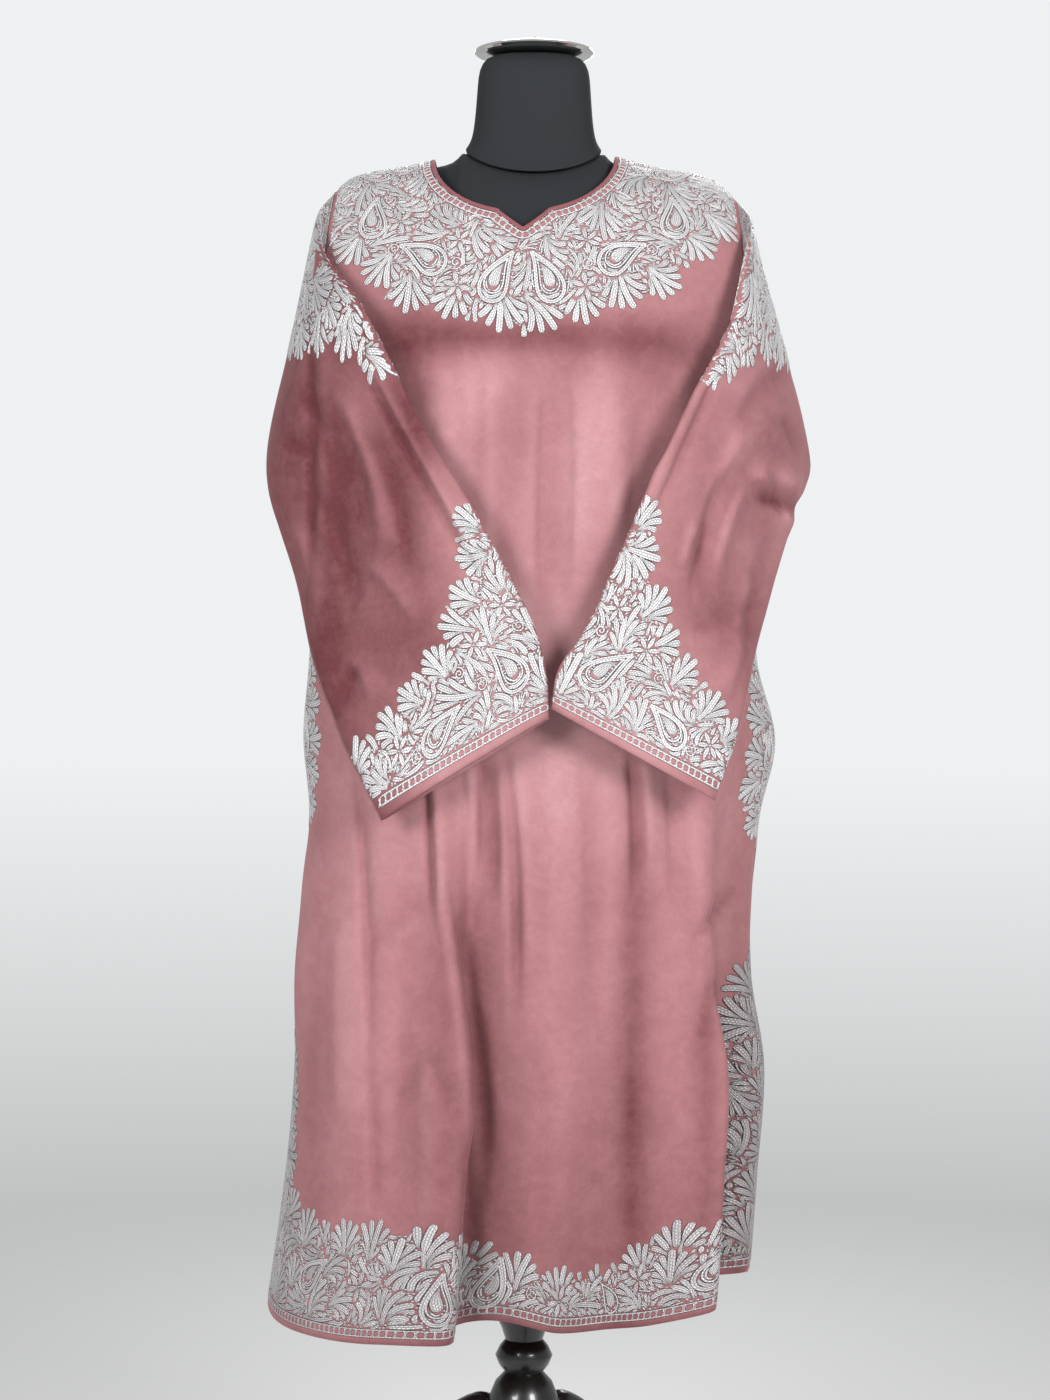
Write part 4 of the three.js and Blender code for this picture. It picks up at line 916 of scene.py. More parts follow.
def border(ground, line):
    """Two rows of stitches with bars between them, which leave a chain of eyelets."""
    for side in (-1, 1):
        rail = shifted(line, side * (BORDER_WIDE / 2 - RAIL))[::2]
        ground.lay(rail, np.full(len(rail), RAIL))
    points, heading = even(line, EYELET)
    for p, way in zip(points, leftward(heading) * (BORDER_WIDE / 2 - RAIL)):
        bar = np.stack([p - way, p - way * 0.55, p, p + way * 0.55, p + way])
        ground.strokes.append((bar, np.array([2.1, 0.9, 0.5, 0.9, 2.1])))
    ground.cover(points, np.full(len(points), BORDER_WIDE / 2))


def fringe(ground, line, spacing, size):
    """Fans of round-ended petals along the free edge, each leaning its own way, with sprigs between."""
    points, heading = even(line, spacing / 2)
    for sprig in (False, True):
        for k, (p, way) in enumerate(zip(points, heading)):
            if k % 2 == sprig:
                continue
            lean = ground.chance.uniform(-0.3, 0.3)
            outward = way + math.pi / 2 + (0 if sprig else lean)
            length = size * (0.62 if sprig else ground.chance.uniform(0.92, 1.12))
            foot = p - toward(outward) * (length - PETAL_OUT + (3 if sprig else 0))
            count, spread = (4, 0.46) if sprig else (7, 0.8)
            sweep = ground.chance.uniform(-0.6, 0.6)
            ground.grow(fan(foot, outward - 0.4 * sweep, length, sweep, count, spread, 6.6), True)


def lay_out(ground, layout, mirrored):
    """Lays a table of motifs on a ground, and if mirrored, again on its other side."""
    for motif, u, v, *sizes in layout:
        for side in (1, -1) if mirrored else (1,):
            place = np.array([u * side, v], float)
            if motif == "star":
                ground.work(star(place, *sizes))
                continue
            heading, size, *flip = sizes
            heading = heading if side > 0 else math.pi - heading
            if motif == "fan":
                ground.grow(fan(place, heading, size))
            else:
                shape = {"paisley": paisley, "curl": curl}[motif]
                ground.work(shape(place, heading, size, flip[0] * side))


def stitch(ground):
    """Turns the laid-out shapes into raised thread on the cloth: rows of chain stitch side by side."""
    flat, marks, faces, start = [], [], [], 0
    for line, half in ground.strokes:
        half = half + THREAD_SWELL
        count = max(1, int(round(2 * half.max() / ROW)))
        across, high = (np.array(row) for row in THREAD_SECTION[min(count, 3)])
        length = lengths(line)
        ends = np.minimum(1, 0.45 + np.minimum(length, length[-1] - length) / 2.0)
        places = line[:, None] + left_sides(line)[:, None] * (half[:, None] * across)[..., None]
        heights = np.where(high > 0, high * ends[:, None], high)[..., None]
        flat.append(np.concatenate([places, heights], -1).reshape(-1, 3))
        # painted light and shade of the ground, with a tone that differs at random from stroke to stroke
        shade = ground.painted_light(line[len(line) // 2][0]) + ground.chance.uniform(-0.2, 0.2)
        mark = np.empty((len(line), len(across), 3))
        mark[..., 0] = (length / STITCH)[:, None]
        mark[..., 1] = across * count / 2 + count / 2
        mark[..., 2] = shade
        marks.append(mark.reshape(-1, 3))
        index = start + np.arange(heights.size).reshape(heights.shape[:2])
        a, b = index[:-1], index[1:]
        faces += np.stack([a, np.roll(a, -1, 1), np.roll(b, -1, 1), b], -1).reshape(-1, 4).tolist()
        faces += [index[0, ::-1].tolist(), index[-1].tolist()]
        start += heights.size
    flat, marks = np.concatenate(flat), np.concatenate(marks)
    points, normals = ground.cloth.at(*ground.place(flat[:, 0], flat[:, 1]))
    vertices = points + normals * (CLOTH / 2 + flat[:, 2:] * THREAD_HIGH)
    faces = turned_out(faces, faces[0], vertices, normals)
    return new_piece(ground.name, vertices, faces, SILVER, "thread", marks)


def yoke_ground(name, cloth, half, edge, seed):
    def place(u, v):
        return NECK_MIDDLE + u / cloth.width_at(v), v

    def inside(points, u, v):
        share, _ = place(u, v)
        from_side = np.minimum(share, 1 - share) * cloth.width_at(v)
        from_top = v - down_of_turn(shoulder_start(half, np.clip(share, 0, 1)))
        limit = (from_side > 3) & (from_top > 2.5)
        return limit & (points[..., 2] > curve(edge, 1, points[..., 0]) + PETAL_OUT), limit
    ground = Ground(name, cloth, place, (-262, 0, 262, 262), inside, seed, lambda u: YOKE_PAINTED_LIGHT)
    points, _ = neck_line(cloth, half, 1.5)
    border(ground, shifted(points, NECK_ROW))
    return ground


def hem_ground(name, cloth, half, seed):
    width, reach, slits = half["hem wide"], half["hem reach"], half["slits"]

    def place(u, v):
        share = u / width
        return share, down_of_height(curve(half["hem"], 1, np.clip(share, 0, 1)) + v)

    def inside(points, u, v):
        limit = (v > CLEAR_OF_ROW) & (np.minimum(u, width - u) > CLEAR_OF_ROW)
        return limit & (v < curve(reach, 1, u / width) - PETAL_OUT), limit

    # painted shade: the hem's thread is painted darker, and darkest on the strip beside the slit
    def painted_light(u):
        return -0.25 - 0.65 * float(smooth((u / width - 0.84) / 0.05))
    ground = Ground(name, cloth, place, (0, 0, width, 310), inside, seed, painted_light)
    far = width - EDGE_ROW
    corners = [(far, slits[1]), (far, EDGE_ROW), (EDGE_ROW, EDGE_ROW), (EDGE_ROW, slits[0])]
    for ends in zip(corners[:-1], corners[1:]):
        border(ground, np.array(ends, float))
    return ground


def hem_layout(half):
    """Paisleys, stars, fans and curls in turn along the hem, each at its own height and lean."""
    layout, width = [], half["hem wide"]
    for k in range(int(width / HEM_STEP)):
        u = HEM_STEP * k + 34
        motif, rise, lean = HEM_TURNS[k % len(HEM_TURNS)]
        v = mix(30, float(curve(half["hem reach"], 1, u / width)) - PETAL_OUT - 22, rise)
        sizes = {"paisley": (lean, 46, 1 if k % 2 else -1), "star": (14, 6), "fan": (lean, 30),
                 "curl": (lean, 8, 1)}
        layout.append((motif, u, v, *sizes[motif]))
    return layout


def pocket_ground(name, cloth, low, high, wide, right, seed):
    """The worked border beside a pocket slit in the side seam: u up the seam, v away from it."""
    def place(u, v):
        down = down_of_height(u)
        share = v / cloth.width_at(down)
        return (1 - share if right else share), down

    def inside(points, u, v):
        rise = np.clip((u - low) / (high - low), 0, 1)
        limit = v > CLEAR_OF_ROW
        return limit & (v < EDGE_ROW + wide * np.sin(math.pi * rise) ** 0.6), limit
    ground = Ground(name, cloth, place, (low - 12, 0, high + 12, wide + 40), inside, seed,
                    lambda u: POCKET_PAINTED_LIGHT)
    border(ground, np.array([[low, EDGE_ROW], [high, EDGE_ROW]], float))
    return ground


def sleeve_ground(name, cloth, from_cuff, inside_of, box, seed, painted_light):
    """The worked end of a sleeve: u round it from its top fold, v from the cuff or the seam."""
    columns = cloth.points.shape[1]
    half_count = columns // 2
    top, low = cloth.points[:, 0], cloth.points[:, half_count]
    widths = np.linalg.norm(top - low, axis=1)
    top_length, low_length = (np.linalg.norm(np.diff(line, axis=0), axis=1).sum()
                              for line in (top, low))
    ring = cloth.points[0, :half_count + 1, 2]
    drops = (ring[0] - ring) / (ring[0] - ring[-1])

    def place(u, v):
        length = mix(top_length, low_length, np.clip(np.abs(u) / widths.mean(), 0, 1))
        for _ in range(3):
            at = 1 - v / length if from_cuff else v / length
            drop = np.clip(np.abs(u) / np.interp(at, cloth.rows, widths), 0, 1)
            length = mix(top_length, low_length, drop)
        column = np.interp(drop, drops, np.arange(half_count + 1)) / columns
        return np.where(u < 0, column, 1 - column), at

    def inside(points, u, v):
        _, at = place(u, v)
        edge = np.interp(at, cloth.rows, widths) - np.abs(u)
        limit = (edge > 2) & (at > 0.004) & (at < 1)
        return limit & inside_of(points, u, v), limit
    ground = Ground(name, cloth, place, box, inside, seed, lambda u: painted_light)
    if from_cuff:
        reach = widths[-1] - 1
        border(ground, np.array([[-reach, EDGE_ROW + 2], [reach, EDGE_ROW + 2]], float))
    return ground


def cuff_inside(points, u, v):
    return (v > EDGE_ROW + 7) & (v < curve(CUFF_REACH, 1, np.abs(u)) - PETAL_OUT)


def sleeve_top_inside(points, u, v):
    return points[..., 2] > 1226 - 38 * np.exp(-(u / 17) ** 2)


# ---------------------------------------------------------------- rolled edge of the neck
ROLL = [  # its section: way in from the cloth's edge, height off the cloth's middle
    (3.0, 0.85), (3.0, 1.3), (2.6, 1.6), (1.0, 1.7), (-0.4, 1.5), (-1.1, 0.8), (-1.3, 0),
    (-1.1, -0.8), (-0.4, -1.5), (1.0, -1.7), (2.6, -1.6), (3.0, -1.3), (3.0, -0.85),
    (0, -0.85), (-0.35, 0), (0, 0.85),
]


def neck_line(cloth, half, spacing):
    """The neck edge of one half in its chart: points, and headings with the cloth on the left."""
    shares = np.linspace(NECK[0] + 1e-4, NECK[1] - 1e-4, 600)
    v = down_of_turn(shoulder_start(half, shares))
    return even(np.stack([(shares - NECK_MIDDLE) * cloth.width_at(v), v], -1), spacing)


def edge_mesh(name):
    rings = []
    for cloth, half, order in ((front, FRONT, 1), (back, BACK, -1)):
        def at(place):
            return cloth.at(NECK_MIDDLE + place[:, 0] / cloth.width_at(place[:, 1]), place[:, 1])
        points, heading = neck_line(cloth, half, 2.6)
        inward = leftward(heading)
        ahead, _ = at(points + inward * 2)
        ring = []
        for way_in, high in ROLL:
            spots, normals = at(points + inward * max(way_in, 0))
            if way_in < 0:
                way = (spots - ahead) / np.linalg.norm(spots - ahead, axis=1, keepdims=True)
                spots = spots - way * way_in
            ring.append(spots + normals * high)
        rings.append(np.stack(ring, 1)[1:-1][::order])
    grid = np.concatenate(rings)
    index = np.arange(grid[..., 0].size).reshape(grid.shape[:2])
    a, b = index, np.roll(index, -1, 0)
    faces = np.stack([a, b, np.roll(b, -1, 1), np.roll(a, -1, 1)], -1).reshape(-1, 4)
    piece = new_piece(name, grid.reshape(-1, 3), faces.tolist(), VELVET_EDGE, "pile_and_painted_light",
                      np.full(index.size, 0.35))
    made = bmesh.new()
    made.from_mesh(piece.data)
    bmesh.ops.recalc_face_normals(made, faces=made.faces)
    made.to_mesh(piece.data)
    made.free()
    return piece


# ---------------------------------------------------------------- finishes
def feed(tree, socket, value):
    """Sets a socket to a number or a colour, or joins another node's output to it."""
    if isinstance(value, bpy.types.NodeSocket):
        tree.links.new(value, socket)
    elif isinstance(value, tuple):
        socket.default_value = (*value, 1)
    else:
        socket.default_value = value


def add(tree, kind, **values):
    """A node with its sockets and settings; a socket's name has _ for its spaces."""
    node = tree.nodes.new(kind)
    for key, value in values.items():
        label = key.replace("_", " ")
        if label in node.inputs:
            feed(tree, node.inputs[label], value)
        else:
            setattr(node, key, value)
    return node


def finish(name, color, roughness, metallic=0.0):
    made = bpy.data.materials.new(name)
    made.use_nodes = True
    shader = made.node_tree.nodes["Principled BSDF"]
    for label, value in (("Base Color", color), ("Roughness", roughness), ("Metallic", metallic)):
        feed(made.node_tree, shader.inputs[label], value)
    return made, made.node_tree, shader


def maths(tree, operation, *values, clamp=False):
    node = add(tree, "ShaderNodeMath", operation=operation, use_clamp=clamp)
    for socket, value in zip(node.inputs, values):
        feed(tree, socket, value)
    return node.outputs[0]


def blend_colors(tree, share, low, high, blend="MIX"):
    node = add(tree, "ShaderNodeMix", data_type="RGBA", blend_type=blend)
    for place, value in ((0, share), (6, low), (7, high)):
        feed(tree, node.inputs[place], value)
    return node.outputs[2]


def ramp(tree, source, low, high):
    return add(tree, "ShaderNodeMapRange", clamp=True, Value=source, From_Min=low,
               From_Max=high).outputs["Result"]


def noise(tree, vector, scale, detail=2.0, rough=0.5, distortion=0.0):
    return add(tree, "ShaderNodeTexNoise", Vector=vector, Scale=scale, Detail=detail,
               Roughness=rough, Distortion=distortion).outputs["Fac"]


def group(name, **inputs):
    """A node group that puts out a colour and a height: its tree and its inputs."""
    made = bpy.data.node_groups.new(name, "ShaderNodeTree")
    for label, kind in inputs.items():
        made.interface.new_socket(label, in_out="INPUT", socket_type="NodeSocket" + kind)
    for label, kind in (("Color", "Color"), ("Height", "Float")):
        made.interface.new_socket(label, in_out="OUTPUT", socket_type="NodeSocket" + kind)
    return made, made.nodes.new("NodeGroupInput").outputs


def pile_and_light_group():
    """Velvet: painted light and shade with the lie of the pile, from the layer, small smudges and the grain
    of the fibres.
    """
    tree, start = group("pile_and_painted_light", Vector="Vector", Lie="Float", Light="Color", Dark="Color")
    broad = ramp(tree, noise(tree, start["Vector"], 13, 4, 0.6, 0.4), 0.3, 0.7)
    smudge = ramp(tree, noise(tree, start["Vector"], 46, 5, 0.66, 0.8), 0.4, 0.68)
    fine = noise(tree, start["Vector"], 150, 4, 0.7)
    fibre = noise(tree, start["Vector"], 1500, 2, 0.7)
    # the layer's painted light and shade with the pile's lie; the noises below add random tone
    lie = start["Lie"]
    for mask, middle, amount in ((broad, 0.5, 0.1), (smudge, 0.5, 0.1), (fine, 0.45, 0.16)):
        part = maths(tree, "MULTIPLY", maths(tree, "SUBTRACT", mask, middle), amount)
        lie = maths(tree, "ADD", lie, part, clamp=True)
    # the dark colour where shade is painted, the light one where light is painted
    color = blend_colors(tree, lie, start["Dark"], start["Light"])
    halfway = maths(tree, "MULTIPLY", maths(tree, "MULTIPLY", lie, maths(tree, "SUBTRACT", 1, lie)), 4)
    deeper = blend_colors(tree, halfway, (1, 1, 1), (1, 0.9, 0.91))
    speck = blend_colors(tree, ramp(tree, fibre, 0.3, 0.7), (0.88, 0.88, 0.88), (1.1, 1.1, 1.1))
    for tint in (deeper, speck):
        color = blend_colors(tree, 1.0, color, tint, "MULTIPLY")
    height = maths(tree, "ADD", fibre, maths(tree, "MULTIPLY", fine, 0.6))
    add(tree, "NodeGroupOutput", Color=color, Height=height)
    return tree


def chain_group():
    """Rows of chain stitch: the rows side by side and slanted stitches along them, painted darker in the
    grooves, with painted sparkle and each stroke's painted light and shade.
    """
    tree, start = group("chain_stitch", Thread="Vector", Vector="Vector", Bright="Color", Deep="Color")

    def calc(operation, *values):
        return maths(tree, operation, *values)

    def wave(value):
        """0 in the middle of each whole step and 1 at its ends."""
        return calc("ABSOLUTE", calc("SUBTRACT", calc("MULTIPLY", calc("FRACT", value), 2), 1))
    along, across, own = add(tree, "ShaderNodeSeparateXYZ", Vector=start["Thread"]).outputs
    in_row = wave(across)
    slant = calc("ADD", along, calc("MULTIPLY", calc("FLOOR", across), 0.5))
    in_stitch = wave(calc("SUBTRACT", slant, calc("MULTIPLY", in_row, 0.4)))
    ridge = calc("SUBTRACT", 1, calc("POWER", in_row, 2.5))
    loop = calc("SUBTRACT", 1, calc("POWER", in_stitch, 3))
    height = calc("MULTIPLY", ridge, calc("ADD", calc("MULTIPLY", loop, 0.65), 0.35))
    sparkle = ramp(tree, noise(tree, start["Vector"], 1100, 1, 0.6), 0.42, 0.66)
    # painted shade in the grooves between rows and stitches, painted sparkle on top
    tone = calc("ADD", calc("MULTIPLY", height, 0.62), calc("MULTIPLY", sparkle, 0.3))
    # own: each stroke's painted light and shade, with its random tone
    tone = maths(tree, "ADD", tone, calc("MULTIPLY", calc("SUBTRACT", own, 0.4), 0.5), clamp=True)
    color = blend_colors(tree, tone, start["Deep"], start["Bright"])
    add(tree, "NodeGroupOutput", Color=color, Height=height)
    return tree


def grain_group():
    """Fine irregular grain with broad uneven sheen, for knitted covers and lacquer."""
    tree, start = group("grain", Vector="Vector", Size="Float", Low="Color", High="Color")
    fine = noise(tree, start["Vector"], start["Size"], 3)
    tone = maths(tree, "ADD", maths(tree, "MULTIPLY", fine, 0.6),
                 maths(tree, "MULTIPLY", noise(tree, start["Vector"], 9, 3), 0.5), clamp=True)
    add(tree, "NodeGroupOutput", Color=blend_colors(tree, tone, start["Low"], start["High"]), Height=fine)
    return tree


PILE_AND_LIGHT, CHAIN, GRAIN = pile_and_light_group(), chain_group(), grain_group()


def object_vector(tree):
    return tree.nodes.new("ShaderNodeTexCoord").outputs["Object"]


def use_group(tree, shader, made, strength, distance, **values):
    node = add(tree, "ShaderNodeGroup", node_tree=made)
    for label, value in (("Vector", object_vector(tree)), *values.items()):
        feed(tree, node.inputs[label], value)
    bump = add(tree, "ShaderNodeBump", Strength=strength, Distance=distance,
               Height=node.outputs["Height"])
    feed(tree, shader.inputs["Normal"], bump.outputs["Normal"])
    feed(tree, shader.inputs["Base Color"], node.outputs["Color"])


def velvet(name, light, dark):
    made, tree, shader = finish(name, light, 0.8)
    # the layer of painted light and shade, which also holds the lie of the pile
    lie = add(tree, "ShaderNodeAttribute", attribute_name="pile_and_painted_light").outputs["Fac"]
    use_group(tree, shader, PILE_AND_LIGHT, 0.3, 0.0006, Light=light, Dark=dark, Lie=lie)
    for label, value in (("Specular IOR Level", 0.15), ("Sheen Weight", 0.3),
                         ("Sheen Roughness", 0.4), ("Sheen Tint", (0.9, 0.52, 0.56))):
        feed(tree, shader.inputs[label], value)
    return made


def silver_thread(name, bright, deep):
    made, tree, shader = finish(name, bright, 0.4, 0.35)
    thread = add(tree, "ShaderNodeAttribute", attribute_name="thread").outputs["Vector"]
    use_group(tree, shader, CHAIN, 0.8, 0.0009, Bright=bright, Deep=deep, Thread=thread)
    return made


def grained(name, low, high, roughness, size, strength, metallic=0.0, coat=0.0):
    made, tree, shader = finish(name, high, roughness, metallic)
    use_group(tree, shader, GRAIN, strength, 0.0004, Size=size, Low=low, High=high)
    feed(tree, shader.inputs["Coat Weight"], coat)
    feed(tree, shader.inputs["Coat Roughness"], 0.08)
    return made


# lit and painted-shade colours of the one velvet, mixed by the layer of painted light and shade
VELVET = velvet("rose_velvet", (0.478, 0.260, 0.271), (0.122, 0.033, 0.037))
VELVET_EDGE = velvet("rose_velvet_edge", (0.40, 0.18, 0.19), (0.15, 0.045, 0.052))
# deep: the painted shade in the grooves and on dim grounds; bright: the tops of the stitches
SILVER = silver_thread("silver_thread", (0.82, 0.815, 0.82), (0.34, 0.31, 0.315))
JERSEY = grained("charcoal_jersey", (0.006, 0.0068, 0.008), (0.011, 0.0145, 0.0175), 0.85, 900, 0.5)
CHROME = grained("polished_metal", (0.62, 0.60, 0.56), (0.80, 0.79, 0.76), 0.12, 60, 0.02, 1.0)
GILT = grained("gilt_metal", (0.40, 0.28, 0.12), (0.62, 0.46, 0.22), 0.25, 60, 0.02, 1.0)
LACQUER = grained("black_lacquer", (0.003, 0.0027, 0.0025), (0.008, 0.007, 0.0065), 0.3, 120, 0.08,
                  coat=0.35)

# ---------------------------------------------------------------- the garment
# Each piece's layer: a base level, then patches and creases of painted light and shade with the pile's lie;
# the left sleeve is painted darker than the right.
front_cloth = panel_mesh("pheran_front", front, FRONT, 228, 150, (0.6, FRONT_PILE_AND_PAINTED_LIGHT, FRONT_CREASES))
back_cloth = panel_mesh("pheran_back", back, BACK, 114, 132, (0.55, BACK_PILE_AND_PAINTED_LIGHT, BACK_CREASES))
left_cloth, right_cloth = (
    sleeve_mesh(f"pheran_sleeve_{side}", sleeves[side], 148, 126,
                (base, SLEEVE_PILE_AND_PAINTED_LIGHT[side], SLEEVE_CREASES[side]))
    for side, base in (("left", 0.1), ("right", 0.5)))
neck_edge = edge_mesh("pheran_neck_edge")

thread_pieces = []


def embroider(ground, layout, mirrored, ends, spacing, size, fans=24, fan_size=44):
    """Works a ground: its motifs, the petals along its free edge, fans and leaves in between."""
    lay_out(ground, layout, mirrored)
    fringe(ground, ground.free_edge(*ends), spacing, size)
    ground.sprays(fans, fan_size)
    ground.fill()
    thread_pieces.append(stitch(ground))


for name, cloth, half, edge, layout, seed in (
        ("front", front, FRONT, FRONT_YOKE_EDGE, YOKE_LAYOUT, 11),
        ("back", back, BACK, BACK_YOKE_EDGE, BACK_YOKE_LAYOUT, 13)):
    embroider(yoke_ground(f"thread_yoke_{name}", cloth, half, edge, seed), layout, True, (), 44, 37)
    embroider(hem_ground(f"thread_hem_{name}", cloth, half, seed + 1), hem_layout(half), False, (),
              46, 36)

for side, seed in (("left", 21), ("right", 22)):
    # the cuffs' thread is painted lighter, the sleeve tops' thread as light as the yoke's
    embroider(sleeve_ground(f"thread_cuff_{side}", sleeves[side], True, cuff_inside,
                            (-205, 0, 205, 225), seed, 0.6), CUFF_LAYOUT, True, (0.02, 0.98), 36, 30)
    embroider(sleeve_ground(f"thread_sleeve_top_{side}", sleeves[side], False, sleeve_top_inside,
                            (-262, 0, 262, 300), seed + 10, YOKE_PAINTED_LIGHT),
              SLEEVE_TOP_LAYOUT, True, (0.02, 0.98), 36, 32)

for side, low, high, wide, seed in (("left", 772, 948, 44, 31), ("right", 756, 944, 58, 32)):
    pocket = pocket_ground(f"thread_pocket_{side}", front, low, high, wide, side == "right", seed)
    middle, star_high = (low + high) / 2, EDGE_ROW + 0.42 * wide
    embroider(pocket, [("paisley", middle, EDGE_ROW + 0.52 * wide, 0.3, 40, 1),
                       ("star", middle - 50, star_high, 11, 6), ("star", middle + 48, star_high, 11, 6)],
              False, (0.06, 0.94), 34, 28, 14, 34)

# ---------------------------------------------------------------- form and stand
COLUMN = [  # height, radius of the turned column, from its foot to the plate under the torso
    (118, 7), (126, 15), (140, 20), (152, 34), (214, 34), (226, 33), (240, 27), (249, 18.5),
    (256, 24), (265, 27.5), (274, 23), (280, 18), (292, 22), (304, 28), (322, 30), (338, 22),
    (352, 17), (650, 17), (653, 60), (659.7, 60),
]
COLUMN_SIDES = 72


def turned(name, rows, material):
    """A turned piece, drawn up ring by ring from a disc."""
    bpy.ops.object.select_all(action="DESELECT")
    z, radius = rows[0]
    bpy.ops.mesh.primitive_circle_add(vertices=COLUMN_SIDES, radius=radius * MM, fill_type="NGON",
                                      location=(AXIS.x, AXIS.y, z * MM))
    piece = bpy.context.object
    piece.name = piece.data.name = name
    bpy.ops.object.transform_apply(location=True, rotation=False, scale=False)
    bpy.ops.object.mode_set(mode="EDIT")
    bpy.ops.mesh.select_all(action="SELECT")
    for next_z, next_radius in rows[1:]:
        bpy.ops.mesh.extrude_region_move(TRANSFORM_OT_translate={"value": (0, 0, (next_z - z) * MM)})
        size = next_radius / radius
        bpy.ops.transform.resize(value=(size, size, 1), center_override=(AXIS.x, AXIS.y, next_z * MM))
        z, radius = next_z, next_radius
    bpy.ops.mesh.select_all(action="SELECT")
    bpy.ops.mesh.normals_make_consistent(inside=False)
    bpy.ops.object.mode_set(mode="OBJECT")
    bpy.ops.object.shade_smooth_by_angle(angle=math.radians(50))
    recoat(piece, material)
    return piece


def rounded(name, node, material, levels):
    """A copy of a node with its facets merged and rounded."""
    bpy.ops.object.select_all(action="DESELECT")
    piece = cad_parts[node].copy()
    piece.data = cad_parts[node].data.copy()
    piece.name = piece.data.name = name
    bpy.context.scene.collection.objects.link(piece)
    piece.hide_render = piece.hide_viewport = False
    bpy.context.view_layer.objects.active = piece
    piece.select_set(True)
    bpy.ops.object.mode_set(mode="EDIT")
    bpy.ops.mesh.select_all(action="SELECT")
    bpy.ops.mesh.remove_doubles(threshold=1e-5)
    bpy.ops.mesh.tris_convert_to_quads()
    bpy.ops.object.mode_set(mode="OBJECT")
    soften = piece.modifiers.new("soften", "SUBSURF")
    soften.levels = soften.render_levels = levels
    bpy.ops.object.modifier_apply(modifier="soften")
    bpy.ops.object.shade_smooth()
    recoat(piece, material)
    return piece


def recoat(piece, material):
    piece.data.materials.clear()
    piece.data.materials.append(material)


hard_pieces = [(rounded(name, node, JERSEY, levels), node, "jersey") for name, node, levels in (
    ("dress_form_torso", "form_torso", 1), ("dress_form_neck", "form_neck", 2))]
hard_pieces += [(rounded(name, node, LACQUER, 2), node, "black_wood") for name, node in (
    ("leg_right", "stand_leg_1"), ("leg_back", "stand_leg_2"), ("leg_left", "stand_leg_3"))]
hard_pieces.append((turned("turned_column", COLUMN, LACQUER), "stand_column", "black_wood"))
for node, metal in (("neck_cap", CHROME), ("cap_knob", GILT)):
    recoat(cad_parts[node], metal)

# ---------------------------------------------------------------- what rides on what
sewn_pieces = [(front_cloth, "front_panel", "velvet"), (back_cloth, "back_panel", "velvet"),
               (left_cloth, "sleeve_left", "velvet"), (right_cloth, "sleeve_right", "velvet"),
               (neck_edge, "neck_binding", "velvet_edge")]
for piece, node, slot in sewn_pieces + hard_pieces:
    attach(piece, "root")
    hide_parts(node)
for piece in thread_pieces:
    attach(piece, "root")

# ---------------------------------------------------------------- stage, light and camera
CAMERA_AWAY, CAMERA_HIGH, CAMERA_ASIDE, CAMERA_ROLL = 2.9, 0.894, -0.004, -0.46
FOCAL = 77.55
FLOOR_WIDE, FLOOR_FADES = 3.2, (0.5, 2.6)
WALL_FADES = (-0.26, -0.02)      # sine of the height at which the wall turns from grey to pale
LIGHTS = [  # name, place, height of what it is aimed at, size, power
    ("key_right", (1.7, -2.7, 1.75), 1.0, 1.1, 84),
    ("key_left", (-1.7, -2.7, 1.7), 1.0, 1.1, 68),
    ("back_soft", (0.3, 2.6, 2.4), 0.9, 1.8, 50),
]


def mixed(tree, share, first, second):
    node = tree.nodes.new("ShaderNodeMixShader")
    for socket, value in zip(node.inputs, (share, first, second)):
        feed(tree, socket, value)
    return node.outputs[0]


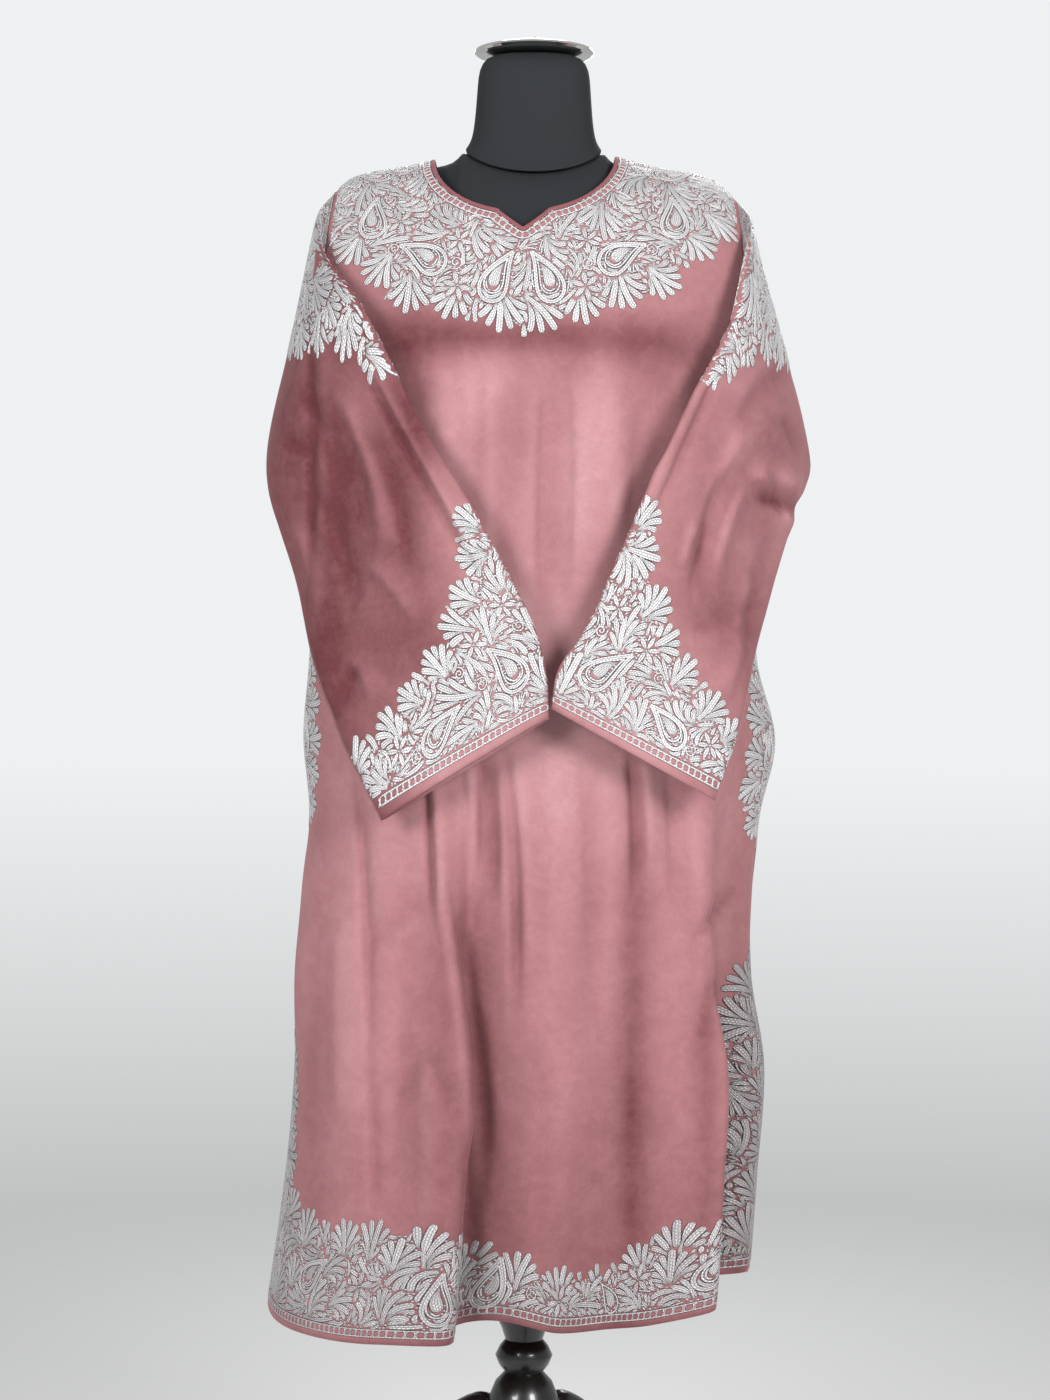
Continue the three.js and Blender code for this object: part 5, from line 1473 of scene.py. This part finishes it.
def stage_floor():
    """A pale disc that fades out towards its rim."""
    bpy.ops.mesh.primitive_circle_add(vertices=96, radius=FLOOR_WIDE, fill_type="NGON")
    floor = bpy.context.object
    floor.name = "floor"
    made, tree, shader = finish("pale_floor", (0.70, 0.70, 0.695), 0.7)
    radius = tree.nodes.new("ShaderNodeVectorMath")
    radius.operation = "LENGTH"
    feed(tree, radius.inputs[0], object_vector(tree))
    share = ramp(tree, radius.outputs["Value"], *FLOOR_FADES)
    clear = tree.nodes.new("ShaderNodeBsdfTransparent").outputs[0]
    feed(tree, tree.nodes["Material Output"].inputs["Surface"],
         mixed(tree, share, shader.outputs[0], clear))
    floor.data.materials.append(made)


def hold(name, data, place, turn):
    holder = bpy.data.objects.new(name, data)
    holder.location, holder.rotation_euler = place, turn
    bpy.context.scene.collection.objects.link(holder)
    return holder


def studio():
    """Soft lamps in a pale room. Its wall is only seen, and a plain even fill lights the piece."""
    bpy.context.scene.view_settings.view_transform = "Standard"
    world = bpy.context.scene.world = bpy.data.worlds.new("studio")
    world.use_nodes = True
    tree = world.node_tree
    tree.nodes.clear()
    around = tree.nodes.new("ShaderNodeTexCoord").outputs["Generated"]
    height = add(tree, "ShaderNodeSeparateXYZ", Vector=around).outputs[2]
    wall = blend_colors(tree, ramp(tree, height, *WALL_FADES), (0.31, 0.31, 0.305),
                        (0.86, 0.875, 0.885))
    seen = add(tree, "ShaderNodeBackground", Color=wall, Strength=1.0).outputs[0]
    fill = add(tree, "ShaderNodeBackground", Color=(0.96, 0.98, 1.0), Strength=0.5).outputs[0]
    ray = tree.nodes.new("ShaderNodeLightPath").outputs["Is Camera Ray"]
    add(tree, "ShaderNodeOutputWorld", Surface=mixed(tree, ray, fill, seen))
    for name, place, aim, size, energy in LIGHTS:
        lamp = bpy.data.lights.new(name, "AREA")
        lamp.shape, lamp.size, lamp.energy = "DISK", size, energy
        way = Vector((0, 0, aim)) - Vector(place)
        hold(name, lamp, place, way.to_track_quat("-Z", "Y").to_euler())


def camera():
    data = bpy.data.cameras.new("view")
    data.lens, data.sensor_width, data.sensor_fit = FOCAL, 36, "AUTO"
    bpy.context.scene.camera = hold(
        "view", data, (AXIS.x + CAMERA_ASIDE, AXIS.y - CAMERA_AWAY, CAMERA_HIGH),
        (QUARTER, math.radians(CAMERA_ROLL), 0))


stage_floor()
studio()
camera()
